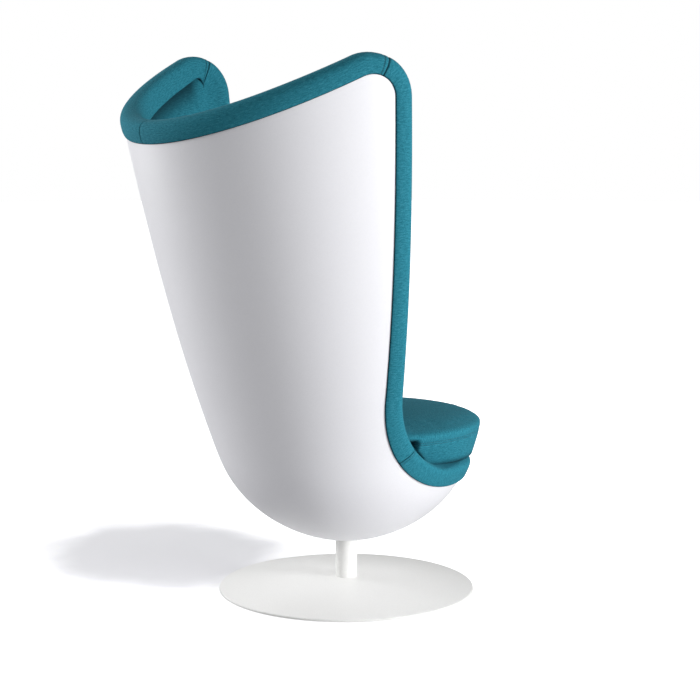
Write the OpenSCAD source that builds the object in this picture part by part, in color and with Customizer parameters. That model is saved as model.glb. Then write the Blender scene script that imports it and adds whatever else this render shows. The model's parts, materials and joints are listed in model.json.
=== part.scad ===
// Pod chair: a tall moulded bucket on a swivelling disc base, with a padded edge and a loose cushion
// The chair faces -Y, and the origin is on the floor on the column's axis

/* [Base] */
// Diameter of the base disc
base_d = 600; // [560:1:640]
// Thickness of the disc's sheet
base_sheet = 5; // [4:0.5:6]
// Rise of the disc's dome from its edge to the column
base_rise = 23; // [21:1:28]
// Width of the solid ring at the disc's edge
base_ring_w = 26; // [18:1:34]
// Radius of the disc's rounded top edge
base_edge_r = 2; // [1:0.5:3]
// Thickness of the felt under the base
felt_t = 3; // [2:0.5:5]
// Inset of the felt from the disc's edge
felt_inset = 14; // [8:1:22]
// Diameter of the ballast plate
ballast_d = 400; // [340:1:420]
// Thickness of the ballast plate
ballast_t = 9; // [8:0.5:10]
// Diameter of the column's foot flange
flange_d = 150; // [130:1:170]
// Thickness of the foot flange
flange_t = 6; // [5:0.5:7]

/* [Column] */
// Outside diameter of the column
column_d = 51; // [48:1:56]
// Wall of the column
column_wall = 3; // [2.5:0.5:4]
// Height of the column's top above the floor
column_top = 120; // [110:1:150]
// Gap between the column and the shell
swivel_gap = 3; // [2:0.5:4]
// Diameter of the swivel spindle
spindle_d = 28; // [25:1:30]
// Length of the upper bush
upper_bush_l = 25; // [18:1:30]
// Length of the lower bush
lower_bush_l = 20; // [15:1:22]
// Room under the lower bush for the spindle's end
spindle_room = 28; // [24:1:30]

/* [Shell] */
// Height over which the shell's flare runs, from its bottom to the wings' tops
shell_h = 1127; // [1080:1:1180]
// Wall of the shell
shell_wall = 6; // [5:0.5:7]
// Radius that the flare would have at the shell's bottom
flare_low_r = 219; // [210:1:230]
// Radius that pulls the flare a third of the way up
flare_mid_r = 379; // [368:1:390]
// Radius that pulls the flare two thirds of the way up
flare_high_r = 419; // [408:1:430]
// Radius of the flare at the top
flare_top_r = 444; // [430:1:456]
// Height of the shell's rounded bowl
bowl_h = 228; // [215:1:240]
// Distance that the shell leans back at its top
shell_lean = 105.5; // [90:0.5:120]

/* [Opening] */
// Height of the shell's edge at the back, above its bottom
back_edge_h = 931; // [900:1:960]
// Slope of the shell's upper edge, in degrees
rim_angle = 25.9; // [24:0.1:28]
// Distance of the front edge behind the column's axis at the wing
wing_y = 138; // [128:1:148]
// Radius of the wing's corner
wing_r = 49.5; // [44:0.5:54]
// Distance behind the axis that pulls the front edge at its middle
front_mid_y = 118; // [110:1:126]
// Distance of the front edge behind the axis where the sweep starts
front_low_y = 99.5; // [92:0.5:108]
// Height of the sweep's start above the shell's bottom
front_low_h = 385; // [370:1:400]
// Pull of the sweep down from its start
sweep_drop = 125; // [110:1:140]
// Pull of the sweep back from the lip
sweep_reach = 166; // [150:1:180]
// Height of the front lip above the shell's bottom
lip_h = 155.5; // [150:0.5:160]
// Distance in front of the axis at which the lip starts
lip_run = 150; // [140:1:165]

/* [Padding] */
// Thickness of the back pad
pad_t = 29.7; // [24:0.1:34]
// Gap between glued or fitted soft pieces
soft_gap = 0.3; // [0.2:0.1:0.5]
// Height of the padded roll along the upper edge
rim_roll_h = 48.5; // [44:0.5:54]
// Height of the padded roll round the wing's corner
wing_roll_h = 42.5; // [40:0.5:50]
// Height of the padded roll down the front edge
front_roll_h = 44.5; // [40:0.5:50]
// Height of the padded roll in the sweep under the front edge
sweep_roll_h = 50; // [44:1:54]
// Height of the padded roll along the front lip
lip_roll_h = 47; // [40:1:48]
// Distance that the roll stands proud of the shell
roll_proud = 6; // [4:0.5:8]
// Distance that the roll stands proud of the shell at the lip's middle
lip_proud = 9; // [6:0.5:12]
// Depth of the roll inward from the shell's face
roll_in = 46; // [44:0.5:50]
// Height of the roll's widest line above the shell's edge
roll_mid_h = 20; // [18:1:22]
// Length of the shell's edge that the roll grips
roll_grip = 18; // [12:1:22]
// Drop of the roll's inner lip over the back pad
roll_drop = 10; // [6:1:14]
// Rounding of the roll's inner lip
roll_lip_r = 4; // [3:0.5:6]

/* [Seat] */
// Height of the mounting plate above the shell's bottom
plate_h = 39; // [37:1:44]
// Radius of the mounting plate
plate_r = 130; // [122:1:136]
// Thickness of the mounting plate
plate_t = 6; // [5:0.5:8]
// Diameter of the swivel hub
hub_d = 44; // [40:1:45]
// Radius of the circle on which the deck's posts stand
post_circle_r = 105; // [98:1:110]
// Diameter of a deck post
post_d = 25; // [20:1:30]
// Wall of a deck post
post_wall = 2; // [1.5:0.5:3]
// Height of the seat board's underside above the shell's bottom
deck_h = 176.5; // [174:0.5:180]
// Radius of the seat board
deck_r = 224; // [205:1:226]
// Thickness of the seat board
deck_t = 12; // [9:0.5:13]
// Width of the ring that joins the deck posts
deck_ring_w = 50; // [40:1:56]
// Thickness of the ring that joins the deck posts
deck_ring_t = 4; // [3:0.5:6]
// Thickness of the pad on the seat board
deck_pad_t = 12.5; // [11:0.5:13.5]
// Radius of the cushion's front edge
cushion_front_r = 268; // [255:1:272]
// Distance of the front edge's centre in front of the axis
cushion_front_y = 55; // [45:1:65]
// Radius of the cushion's back edge
cushion_back_r = 256; // [240:1:260]
// Distance of the back edge's centre behind the axis
cushion_back_y = 20; // [5:1:24]
// Height of the cushion's side, from its underside to its widest line
cushion_side_h = 72.5; // [66:0.5:84]
// Height of the cushion's crown above its widest line
cushion_crown = 32; // [24:1:40]
// Distance that the cushion's side is drawn in towards its underside
cushion_draw = 17; // [12:1:20]
// Further distance that the cushion's side is drawn in at its left and right
cushion_tuck = 12; // [8:1:16]
// Rounding of the cushion's lower edge
cushion_low_r = 4; // [3:0.5:10]

/* [Fixings] */
// Diameter of the bolts in the base and the mounting plate
bolt_d = 8; // [6:1:8]
// Width of a bolt's head across its flats
bolt_head_w = 13; // [12:0.5:14]
// Height of a bolt's head
bolt_head_h = 4.5; // [4:0.5:5]
// Radius of the circle of the base's bolts
foot_circle_r = 56; // [52:1:58]
// Radius of the circle of the mounting plate's bolts
plate_circle_r = 100; // [92:1:104]
// Diameter of a moulded boss in the shell
boss_d = 30; // [26:1:34]
// Diameter of a brass insert
insert_d = 14; // [12:1:16]
// Length of a brass insert
insert_l = 11; // [9:1:12]
// Diameter of a deck screw
screw_d = 6; // [5:0.5:7]
// Diameter of a deck screw's head
screw_head_d = 12; // [10:0.5:14]
// Diameter of a hook or loop patch
patch_d = 50; // [40:1:60]
// Thickness of a hook or loop patch
patch_t = 1.5; // [1:0.5:2]

/* [Hidden] */
$fn = 64;

// Fits and clearances
overrun = 1;
running_fit = 0.05;
loose_fit = 0.3;
thread_fit = 0.1;

// Colours
fabric = "#2f8fa8";
shell_white = "#eeeef2";
coated_steel = "#f1f1ee";
zinc = "silver";
dark_plastic = "#26282b";

// Counts
bolt_count = 4;
patch_count = 4;
round_fn = 96;
dome_fn = 720;
edge_fn = 32;

// Shape numbers without a unit, and angles
full_turn = 360;
corner_turn = 45;
bowl_power = 2.84;
lean_power = 1.7;
roll_power = 2.6;
lip_power = 4;
crown_power = 2.15;
cushion_blend_power = 2;
draw_power = 1.5;
tuck_power = 8;

// Heights in the base
disc_low_z = felt_t;
disc_edge_z = disc_low_z + base_sheet;
disc_top_z = disc_edge_z + base_rise;
dome_r = (pow(base_d / 2, 2) + pow(base_rise, 2)) / (2 * base_rise);
flange_z = felt_t + ballast_t;
column_z = flange_z + flange_t;
column_bore_d = column_d - 2 * column_wall;
ballast_hole_d = column_bore_d + 2 * bolt_head_h;
head_room = 2;
counterbore_d = bolt_head_w + 2 * head_room;
counterbore_h = bolt_head_h + loose_fit;

// Heights in the swivel
shell_z = column_top + swivel_gap;
lower_bush_z = column_z + spindle_room;
washer_t = 2;
clip_t = 1.4;
clip_wall = 5;
clip_groove = 1.2;
clip_gap = 8;
clip_z = lower_bush_z - loose_fit - washer_t - clip_t;
spindle_tail = 6;
spindle_z = clip_z - spindle_tail;
spindle_chamfer = 1.5;
hub_fit = 0.5;

// Heights in the seat
plate_z = shell_z + plate_h;
plate_top_z = plate_z + plate_t;
deck_z = shell_z + deck_h;
deck_top_z = deck_z + deck_t;
deck_pad_z = deck_top_z + deck_pad_t;
deck_pad_over = 1.8;
deck_pad_r = deck_r + deck_pad_over;
deck_pad_edge = 2;
patch_circle_share = 0.62;
cushion_z = deck_pad_z + 2 * patch_t + soft_gap;
plate_washer_t = 1.6;
plate_washer_d = bolt_head_w + 2 * head_room;
plate_bolt_l = insert_l - overrun;

// Height of the line where the round bowl meets the columns that run to the edge
belt_share = 0.6;
belt_h = belt_share * bowl_h;

// Steps along the shell's edge: upper edge, wing corner, front edge, sweep and lip
rim_steps = 11;
wing_steps = 6;
front_steps = 8;
sweep_steps = 7;
lip_steps = 7;
half_steps = rim_steps + wing_steps + front_steps + sweep_steps + lip_steps;
wing_seam = rim_steps + wing_steps / 3;
lower_seam_step = 3;
pad_end_step = 4;
lower_seam = rim_steps + wing_steps + front_steps + lower_seam_step;
pad_end = rim_steps + wing_steps + front_steps + pad_end_step;
bowl_rows = 6;
column_rows = 8;

// A cubic curve over four values, and a quadratic curve over three
function cubic(c, s) = c[0] * pow(1 - s, 3) + 3 * c[1] * pow(1 - s, 2) * s
    + 3 * c[2] * (1 - s) * pow(s, 2) + c[3] * pow(s, 3);
function quadratic(c, s) = c[0] * pow(1 - s, 2) + 2 * c[1] * (1 - s) * s + c[2] * pow(s, 2);
function mix(a, b, s) = a + (b - a) * s;

// The shell's outer face is a round section at each height h above its bottom, set back by lean(h)
flare = [flare_low_r, flare_mid_r, flare_high_r, flare_top_r];
function bowl(h) = sqrt(1 - pow(1 - min(h / bowl_h, 1), bowl_power));
function radius(h) = cubic(flare, h / shell_h) * bowl(h);
function lean(h) = shell_lean * pow(h / shell_h, lean_power);
probe = shell_h / 100000;
function radius_slope(h) = (radius(h + probe) - radius(h - probe)) / (2 * probe);
function lean_slope(h) = (lean(h + probe) - lean(h - probe)) / (2 * probe);

// Direction of the shell's face, and a point at the distance n outside it
function skin_normal(phi, h) =
    let (q = -(radius_slope(h) + lean_slope(h) * sin(phi)))
    [cos(phi), sin(phi), q] / sqrt(1 + q * q);
function skin(phi, h, n) =
    [radius(h) * cos(phi), lean(h) + radius(h) * sin(phi), shell_z + h] + n * skin_normal(phi, h);
function azimuth(y, h) = asin(max(-1, min(1, (y - lean(h)) / radius(h))));

// The shell's edge in side view, as [y, h], from the back's middle (s = 0) to the lip's middle (s = 5)
back_edge_y = lean(back_edge_h) + radius(back_edge_h);
wing_centre = [wing_y + wing_r,
    back_edge_h + tan(rim_angle) * (back_edge_y - wing_y - wing_r) - wing_r / cos(rim_angle)];
rim_end_y = wing_centre[0] + wing_r * sin(rim_angle);
lip_front_y = lean(lip_h) - radius(lip_h);
front_pull = 2 * (front_mid_y - front_low_y) / (wing_centre[1] - front_low_h);
function rim_line(w) =
    let (y = mix(back_edge_y, rim_end_y, w * w))
    [y, back_edge_h + tan(rim_angle) * (back_edge_y - y)];
function wing_arc(w) =
    let (a = mix(90 - rim_angle, 180, w))
    wing_centre + wing_r * [cos(a), sin(a)];
function front_line(w) =
    [quadratic([wing_y, front_mid_y, front_low_y], w), mix(wing_centre[1], front_low_h, w)];
function sweep_line(w) = [
    cubic([front_low_y, front_low_y - front_pull * sweep_drop, sweep_reach - lip_run, -lip_run], w),
    cubic([front_low_h, front_low_h - sweep_drop, lip_h, lip_h], w)];
function lip_line(w) = [mix(lip_front_y, -lip_run, pow(1 - w, 2)), lip_h];
function edge(s) = s < 1 ? rim_line(s)
    : s < 2 ? wing_arc(s - 1)
    : s < 3 ? front_line(s - 2)
    : s < 4 ? sweep_line(s - 3)
    : lip_line(s - 4);
function edge_point(s) = let (e = edge(s)) skin(azimuth(e[0], e[1]), e[1], 0);

// The edge's samples on the +X side
edge_s = concat(
    [for (k = [0:rim_steps - 1]) k / rim_steps],
    [for (k = [0:wing_steps - 1]) 1 + k / wing_steps],
    [for (k = [0:front_steps - 1]) 2 + k / front_steps],
    [for (k = [0:sweep_steps - 1]) 3 + k / sweep_steps],
    [for (k = [0:lip_steps]) 4 + k / lip_steps]);

// At each sample: its azimuth and height, and how both change per length away from the shell's edge
turn = 180 / PI;
sample_step = 0.01;
function unit(v) = v / norm(v);
function edge_run(s) = s == 0 ? [1, 0, 0] : s == 5 ? [-1, 0, 0]
    : unit(edge_point(s + sample_step) - edge_point(s - sample_step));
function edge_frame(s) =
    let (e = edge(s), h = e[1], phi = azimuth(e[0], h))
    let (out = cross(edge_run(s), skin_normal(phi, h)))
    let (along = out * [-sin(phi), cos(phi), 0] - out[2] * lean_slope(h) * cos(phi))
    [phi, h, turn * along / radius(h), out[2]];
frames = [for (s = edge_s) edge_frame(s)];
function off_edge(i, t, n) = skin(frames[i][0] + frames[i][2] * t, frames[i][1] + frames[i][3] * t, n);

// Azimuth, in degrees, of the foot of the column that runs up to each sample
foot_table = [[0, 90], [1, 42], [2, 34], [3, 14], [4, -36], [5, -90]];

// A sample's number and side, when the samples run on round the -X side
function wrapped(i) = i <= half_steps ? i : 2 * half_steps - i;
function sided(p, i) = i <= half_steps ? p : [-p[0], p[1], p[2]];

// Faces of a grid of points in rows and columns, seen from outside
function cell(a, b, c, d) = [[a, b, c], [a, c, d]];
function sheet_faces(rows, cols, first, flip, around) = [
    for (j = [0:rows - 2]) for (i = [0:cols - (around ? 1 : 2)])
    let (a = first + j * cols + i, b = first + j * cols + (i + 1) % cols)
    for (f = flip ? cell(a, b, b + cols, a + cols) : cell(a, a + cols, b + cols, b)) f];
function rim_faces(cols, a0, b0, flip, around) = [
    for (i = [0:cols - (around ? 1 : 2)])
    let (k = (i + 1) % cols)
    for (f = flip ? cell(a0 + i, b0 + i, b0 + k, a0 + k) : cell(a0 + i, a0 + k, b0 + k, b0 + i)) f];
function side_faces(rows, cols, col, size, flip) = [
    for (j = [0:rows - 2])
    let (a = j * cols + col, b = a + cols)
    for (f = flip ? cell(a, b, b + size, a + size) : cell(a, a + size, b + size, b)) f];

module ring(outer_d, bore_d, h) {
    difference() {
        cylinder(d = outer_d, h = h, $fn = round_fn);
        translate([0, 0, -overrun]) cylinder(d = bore_d, h = h + 2 * overrun, $fn = round_fn);
    }
}

module spread(count, circle_r, first = 0) {
    for (k = [0:count - 1]) rotate(first + k * full_turn / count) translate([circle_r, 0, 0]) children();
}

// Hexagon socket bolt with its head's underside at z = 0 and its shank pointing up
module bolt(shank_l) {
    difference() {
        translate([0, 0, -bolt_head_h]) cylinder(d = bolt_head_w, h = bolt_head_h);
        translate([0, 0, -bolt_head_h - overrun])
            cylinder(d = bolt_head_w / 2, h = bolt_head_h / 2 + overrun, $fn = 6);
    }
    cylinder(d = bolt_d, h = shank_l);
}

module dome_section(r, inner_r, outer_r) {
    intersection() {
        translate([0, disc_top_z - dome_r]) circle(r = r, $fn = dome_fn);
        translate([inner_r, disc_low_z]) square([outer_r - inner_r, disc_top_z]);
    }
}

module base_disc() {
    hole_r = column_d / 2 + running_fit;
    color(coated_steel) rotate_extrude($fn = round_fn * 2) difference() {
        dome_section(dome_r, hole_r, base_d / 2);
        dome_section(dome_r - base_sheet, hole_r - overrun, base_d / 2 - base_ring_w);
        translate([base_d / 2 - base_edge_r, disc_edge_z - base_edge_r]) difference() {
            square(2 * base_edge_r);
            circle(r = base_edge_r, $fn = edge_fn);
        }
    }
}

module floor_felt() {
    color("#55585c") cylinder(d = base_d - 2 * felt_inset, h = felt_t, $fn = round_fn);
}

module ballast_plate() {
    color("dimgray") difference() {
        translate([0, 0, felt_t]) cylinder(d = ballast_d, h = ballast_t, $fn = round_fn);
        cylinder(d = ballast_hole_d, h = flange_z + overrun);
        spread(bolt_count, foot_circle_r) {
            cylinder(d = bolt_d + 2 * loose_fit, h = flange_z + overrun);
            cylinder(d = counterbore_d, h = felt_t + counterbore_h);
        }
    }
}

module foot_flange() {
    color(zinc) translate([0, 0, flange_z]) difference() {
        ring(flange_d, column_bore_d, flange_t);
        translate([0, 0, -overrun])
            spread(bolt_count, foot_circle_r)
                cylinder(d = bolt_d + 2 * loose_fit, h = flange_t + 2 * overrun);
    }
}

// Height of the dome's underside over the outer corner of a nut
nut_reach = foot_circle_r + bolt_head_w / 2;
nut_top_z = disc_top_z - dome_r + sqrt(pow(dome_r - base_sheet, 2) - pow(nut_reach, 2)) - running_fit;

module foot_nuts() {
    color(zinc) spread(bolt_count, foot_circle_r) translate([0, 0, column_z]) difference() {
        cylinder(d = bolt_head_w, h = nut_top_z - column_z, $fn = 6);
        translate([0, 0, -overrun]) cylinder(d = bolt_d + 2 * thread_fit, h = disc_top_z);
    }
}

module foot_bolts() {
    color(zinc) spread(bolt_count, foot_circle_r)
        translate([0, 0, felt_t + counterbore_h]) bolt(nut_top_z - felt_t - counterbore_h - overrun);
}

module column_tube() {
    color(coated_steel) translate([0, 0, column_z]) ring(column_d, column_bore_d, column_top - column_z);
}

module lower_bush() {
    color(dark_plastic) translate([0, 0, lower_bush_z])
        ring(column_bore_d, spindle_d + 2 * running_fit, lower_bush_l);
}

module upper_bush() {
    color(dark_plastic) translate([0, 0, column_top - upper_bush_l])
        ring(column_bore_d, spindle_d + 2 * running_fit, upper_bush_l);
}

module thrust_washer() {
    color(dark_plastic) translate([0, 0, column_top])
        ring(column_bore_d - 2 * loose_fit, spindle_d + 2 * loose_fit, swivel_gap);
}

module spindle() {
    color(zinc) difference() {
        union() {
            translate([0, 0, spindle_z + spindle_chamfer])
                cylinder(d = spindle_d, h = plate_top_z - spindle_z - spindle_chamfer, $fn = round_fn);
            translate([0, 0, spindle_z])
                cylinder(
                    d1 = spindle_d - 2 * spindle_chamfer, d2 = spindle_d, h = spindle_chamfer, $fn = round_fn);
        }
        translate([0, 0, clip_z]) ring(spindle_d + 2 * overrun, spindle_d - 2 * clip_groove, clip_t);
    }
}

module retaining_washer() {
    color(zinc) translate([0, 0, clip_z + clip_t])
        ring(column_bore_d - 2 * overrun, spindle_d + 2 * loose_fit, washer_t);
}

module retaining_clip() {
    color("dimgray") translate([0, 0, clip_z]) difference() {
        ring(spindle_d + 2 * clip_wall, spindle_d - 2 * clip_groove, clip_t);
        translate([0, -clip_gap / 2, -overrun]) cube([spindle_d, clip_gap, clip_t + 2 * overrun]);
    }
}

module mounting_plate() {
    color("dimgray") difference() {
        union() {
            translate([0, 0, plate_z]) cylinder(r = plate_r, h = plate_t, $fn = round_fn);
            translate([0, 0, shell_z]) cylinder(d = hub_d, h = plate_h, $fn = round_fn);
        }
        translate([0, 0, shell_z - overrun])
            cylinder(d = spindle_d, h = plate_h + plate_t + 2 * overrun, $fn = round_fn);
        translate([0, 0, plate_z - overrun]) spread(bolt_count, plate_circle_r, corner_turn)
            cylinder(d = bolt_d + 2 * loose_fit, h = plate_t + 2 * overrun);
    }
}

module plate_washers() {
    color(zinc) translate([0, 0, plate_top_z])
        spread(bolt_count, plate_circle_r, corner_turn)
            ring(plate_washer_d, bolt_d + 2 * loose_fit, plate_washer_t);
}

module plate_bolts() {
    color(zinc) translate([0, 0, plate_top_z + plate_washer_t])
        spread(bolt_count, plate_circle_r, corner_turn) mirror([0, 0, 1])
            bolt(plate_t + plate_washer_t + plate_bolt_l);
}

module shell_inserts() {
    color("goldenrod") translate([0, 0, plate_z - insert_l])
        spread(bolt_count, plate_circle_r, corner_turn) ring(insert_d, bolt_d + 2 * thread_fit, insert_l);
}

// Radius and height of the shell's hole for the hub
hub_hole_r = hub_d / 2 + hub_fit;
hub_hole_h = bowl_h / bowl_power * pow(hub_hole_r / flare_low_r, 2);

// A point of the shell's face: rows run from the hub's hole over the belt to the roll's inner lip,
// the edge and its tongue
function bowl_point(i, j, n) =
    skin(lookup(edge_s[i], foot_table), mix(hub_hole_h, belt_h, pow(j / bowl_rows, 2)), n);
function column_point(i, w, n) =
    let (phi = frames[i][0] - frames[i][2] * roll_drop, h = frames[i][1] - frames[i][3] * roll_drop)
    skin(mix(lookup(edge_s[i], foot_table), phi, w), mix(belt_h, h, w), n);
function lining_point(i, j, n) = j <= column_rows ? column_point(i, j / column_rows, n) : off_edge(i, 0, n);
function shell_point(i, j, n) = j <= bowl_rows ? bowl_point(i, j, n)
    : j <= bowl_rows + column_rows + 1 ? lining_point(i, j - bowl_rows, n)
    : off_edge(i, roll_grip, n);

module shell_body() {
    rows = bowl_rows + column_rows + 3;
    cols = 2 * half_steps;
    function face_points(n) = [for (j = [0:rows - 1]) for (i = [0:cols - 1])
        sided(shell_point(wrapped(i), j, n), i)];
    size = rows * cols;
    polyhedron(
        concat(face_points(0), face_points(-shell_wall)),
        concat(
            sheet_faces(rows, cols, 0, true, true),
            sheet_faces(rows, cols, size, false, true),
            rim_faces(cols, 0, size, true, true),
            rim_faces(cols, size - cols, 2 * size - cols, false, true)),
        convexity = 6);
}

// Each boss starts inside the shell's wall and ends under the mounting plate
boss_foot_h = bowl_h / bowl_power * pow((plate_circle_r + boss_d / 2) / flare_low_r, 2);

module outer_shell() {
    color(shell_white) difference() {
        union() {
            shell_body();
            spread(bolt_count, plate_circle_r, corner_turn)
                translate([0, 0, shell_z + boss_foot_h]) cylinder(d = boss_d, h = plate_h - boss_foot_h);
        }
        translate([0, 0, plate_z - insert_l]) spread(bolt_count, plate_circle_r, corner_turn)
            cylinder(d = insert_d, h = insert_l + overrun);
    }
}

module deck_posts() {
    color("dimgray") translate([0, 0, plate_top_z]) spread(bolt_count, post_circle_r)
        ring(post_d, post_d - 2 * post_wall, deck_z - deck_ring_t - plate_top_z);
}

module deck_screw_holes(z, h, d) {
    translate([0, 0, z - overrun]) spread(bolt_count, post_circle_r, corner_turn)
        cylinder(d = d, h = h + 2 * overrun);
}

module deck_ring() {
    color("dimgray") difference() {
        translate([0, 0, deck_z - deck_ring_t])
            ring(2 * post_circle_r + deck_ring_w, 2 * post_circle_r - deck_ring_w, deck_ring_t);
        deck_screw_holes(deck_z - deck_ring_t, deck_ring_t, screw_d + 2 * thread_fit);
    }
}

screw_head_h = (screw_head_d - screw_d) / 2;

module seat_board() {
    color("burlywood") difference() {
        translate([0, 0, deck_z]) cylinder(r = deck_r, h = deck_t, $fn = round_fn);
        deck_screw_holes(deck_z, deck_t, screw_d + 2 * loose_fit);
        translate([0, 0, deck_top_z - screw_head_h]) spread(bolt_count, post_circle_r, corner_turn)
            cylinder(d1 = screw_d + 2 * loose_fit, d2 = screw_head_d + 2 * loose_fit, h = screw_head_h);
    }
}

module deck_screws() {
    length = deck_t + deck_ring_t + overrun;
    color(zinc) translate([0, 0, deck_top_z]) spread(bolt_count, post_circle_r, corner_turn) difference() {
        union() {
            translate([0, 0, -length]) cylinder(d = screw_d, h = length);
            translate([0, 0, -screw_head_h]) cylinder(d1 = screw_d, d2 = screw_head_d, h = screw_head_h);
        }
        translate([0, 0, -screw_head_h / 2]) cylinder(d = screw_d / 2, h = screw_head_h, $fn = 6);
    }
}

module deck_pad() {
    color(fabric) translate([0, 0, deck_top_z]) {
        cylinder(r = deck_pad_r, h = deck_pad_t - deck_pad_edge, $fn = round_fn);
        translate([0, 0, deck_pad_t - deck_pad_edge])
            cylinder(r1 = deck_pad_r, r2 = deck_pad_r - deck_pad_edge, h = deck_pad_edge, $fn = round_fn);
    }
}

module patches(z) {
    translate([0, 0, z]) spread(patch_count, patch_circle_share * deck_r, corner_turn)
        cylinder(d = patch_d, h = patch_t);
}

module hook_patches() {
    color(dark_plastic) patches(deck_pad_z);
}

module loop_patches() {
    color(dark_plastic) patches(deck_pad_z + patch_t + soft_gap);
}

// The back pad lines the shell's inside, from the first row over the belt up to the edge
module back_pad() {
    rows = column_rows + 1;
    cols = 2 * pad_end + 1;
    size = rows * cols;
    function face_points(n) = [for (j = [0:rows - 1]) for (i = [0:cols - 1])
        let (p = lining_point(abs(i - pad_end), j + 1, n))
        i >= pad_end ? p : [-p[0], p[1], p[2]]];
    color(fabric) polyhedron(
        concat(face_points(-shell_wall - soft_gap), face_points(-shell_wall - soft_gap - pad_t)),
        concat(
            sheet_faces(rows, cols, 0, true, false),
            sheet_faces(rows, cols, size, false, false),
            rim_faces(cols, 0, size, true, false),
            rim_faces(cols, size - cols, 2 * size - cols, false, false),
            side_faces(rows, cols, 0, size, true),
            side_faces(rows, cols, cols - 1, size, false)),
        convexity = 6);
}

// The roll's section, as [distance outside the shell's face, distance beyond its edge]
face_steps = 10;
roll_low_share = 1.5;
roll_low_h = roll_low_share * roll_mid_h;
roll_height_table = [[0, rim_roll_h], [0.8, rim_roll_h], [1.3, wing_roll_h], [2, front_roll_h],
    [2.9, front_roll_h], [3.4, sweep_roll_h], [4, lip_roll_h], [5, lip_roll_h]];
roll_power_table = [[3, roll_power], [4, lip_power]];
roll_proud_table = [[4, roll_proud], [4.6, lip_proud]];
lip_press_table = [[3.65, 0], [3.82, 1]];
function blunt(v, power) = sign(v) * pow(abs(v), 2 / power);
function roll_face(a, top_h, proud, power) = [
    (proud - roll_in + (proud + roll_in) * blunt(cos(a), power)) / 2,
    roll_mid_h + (a < 0 ? roll_low_h : top_h - roll_mid_h) * blunt(sin(a), power)];
pad_face_n = -shell_wall - pad_t - 2 * soft_gap;
function roll_section(s) =
    let (top_h = lookup(s, roll_height_table), proud = lookup(s, roll_proud_table))
    let (power = lookup(s, roll_power_table))
    let (start = -asin(pow((roll_mid_h - soft_gap) / roll_low_h, power / 2)))
    concat(
    [for (k = [0:face_steps]) roll_face(mix(start, 180, k / face_steps), top_h, proud, power)],
    [
        [-roll_in, -roll_drop + 2 * roll_lip_r],
        [-roll_in + roll_lip_r, -roll_drop],
        [pad_face_n, -roll_drop],
        [pad_face_n, soft_gap],
        [-shell_wall - soft_gap, soft_gap],
        [-shell_wall - soft_gap, roll_grip + soft_gap],
        [soft_gap, roll_grip + soft_gap],
        [soft_gap, soft_gap]
    ]);

// Triangles of the section: the outer lobe, the crown over the groove, and the inner lobe and lip
groove = face_steps + 5;
section_faces = concat(
    [[groove + 3, 0, 1], [groove + 3, 1, groove + 2]],
    [for (k = [1:3]) [groove + 2, k, k + 1]],
    [[groove + 2, 4, groove + 1]],
    [for (k = [4:face_steps]) [groove + 1, k, k + 1]],
    [
        [groove + 1, face_steps + 1, groove - 1],
        [groove + 1, groove - 1, groove],
        [groove - 1, face_steps + 1, face_steps + 2],
        [groove - 1, face_steps + 2, face_steps + 3]
    ]);

// The groove's faces are cut along the same diagonals as the faces of the shell and the pad in it
function crossed_strip(i) = i == groove - 1 || i == groove + 1 || i == groove + 2;

// Along the lip the roll's face is pressed flat under the cushion
lip_top_z = cushion_z - soft_gap;
function pressed(p, s) = [p[0], p[1], p[2] - lookup(s, lip_press_table) * max(0, p[2] - lip_top_z)];
function roll_ring(k) =
    let (s = edge_s[k], section = roll_section(s))
    [for (j = [0:len(section) - 1])
        let (p = off_edge(k, section[j][1], section[j][0]))
        j <= face_steps ? pressed(p, s) : p];

// A stretch of the roll from one sample of the edge to another
module roll(first, last) {
    rings = [for (i = [first:last]) [for (p = roll_ring(wrapped(i))) sided(p, i)]];
    size = len(rings[0]);
    end = (last - first) * size;
    polyhedron(
        [for (r = rings) for (p = r) p],
        concat(
            [for (j = [0:last - first - 1]) for (i = [0:size - 1])
                let (a = j * size + i, b = j * size + (i + 1) % size)
                for (f = crossed_strip(i)
                    ? cell(b, a, a + size, b + size)
                    : cell(a, a + size, b + size, b)) f],
            section_faces,
            [for (f = section_faces) [f[0] + end, f[2] + end, f[1] + end]]),
        convexity = 8);
}

module rim_roll_right() {
    color(fabric) roll(0, wing_seam);
}

module rim_roll_left() {
    color(fabric) roll(2 * half_steps - wing_seam, 2 * half_steps);
}

module front_roll_right() {
    color(fabric) roll(wing_seam, lower_seam);
}

module front_roll_left() {
    color(fabric) roll(2 * half_steps - lower_seam, 2 * half_steps - wing_seam);
}

module lip_roll() {
    color(fabric) roll(lower_seam, 2 * half_steps - lower_seam);
}

// The cushion's rings, as [inset from the widest outline, height above its underside, share of the tuck]
cushion_sides = 56;
low_steps = 3;
side_steps = 3;
crown_steps = 7;
cushion_rings = concat(
    [for (k = [0:low_steps])
        let (a = 90 * k / low_steps)
        [cushion_draw + cushion_low_r * (1 - sin(a)), cushion_low_r * (1 - cos(a)), 1]],
    [for (k = [1:side_steps])
        let (w = k / side_steps, tuck = pow(1 - w, draw_power))
        [cushion_draw * tuck, mix(cushion_low_r, cushion_side_h, w), tuck]],
    [for (k = [1:crown_steps])
        let (a = 90 * k / (crown_steps + 1))
        [cushion_front_r * (1 - pow(cos(a), 2 / crown_power)),
            cushion_side_h + cushion_crown * pow(sin(a), 2 / crown_power), 0]]);

// A point of the cushion: its outline blends from the front circle to the back one
function cushion_point(a, ring) =
    let (w = pow((1 + sin(a)) / 2, cushion_blend_power))
    let (share = 1 - (ring[0] + ring[2] * cushion_tuck * pow(cos(a), tuck_power)) / cushion_front_r)
    let (r = share * mix(cushion_front_r, cushion_back_r, w))
    [r * cos(a), mix(-cushion_front_y, cushion_back_y, w * share) + r * sin(a), cushion_z + ring[1]];

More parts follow.
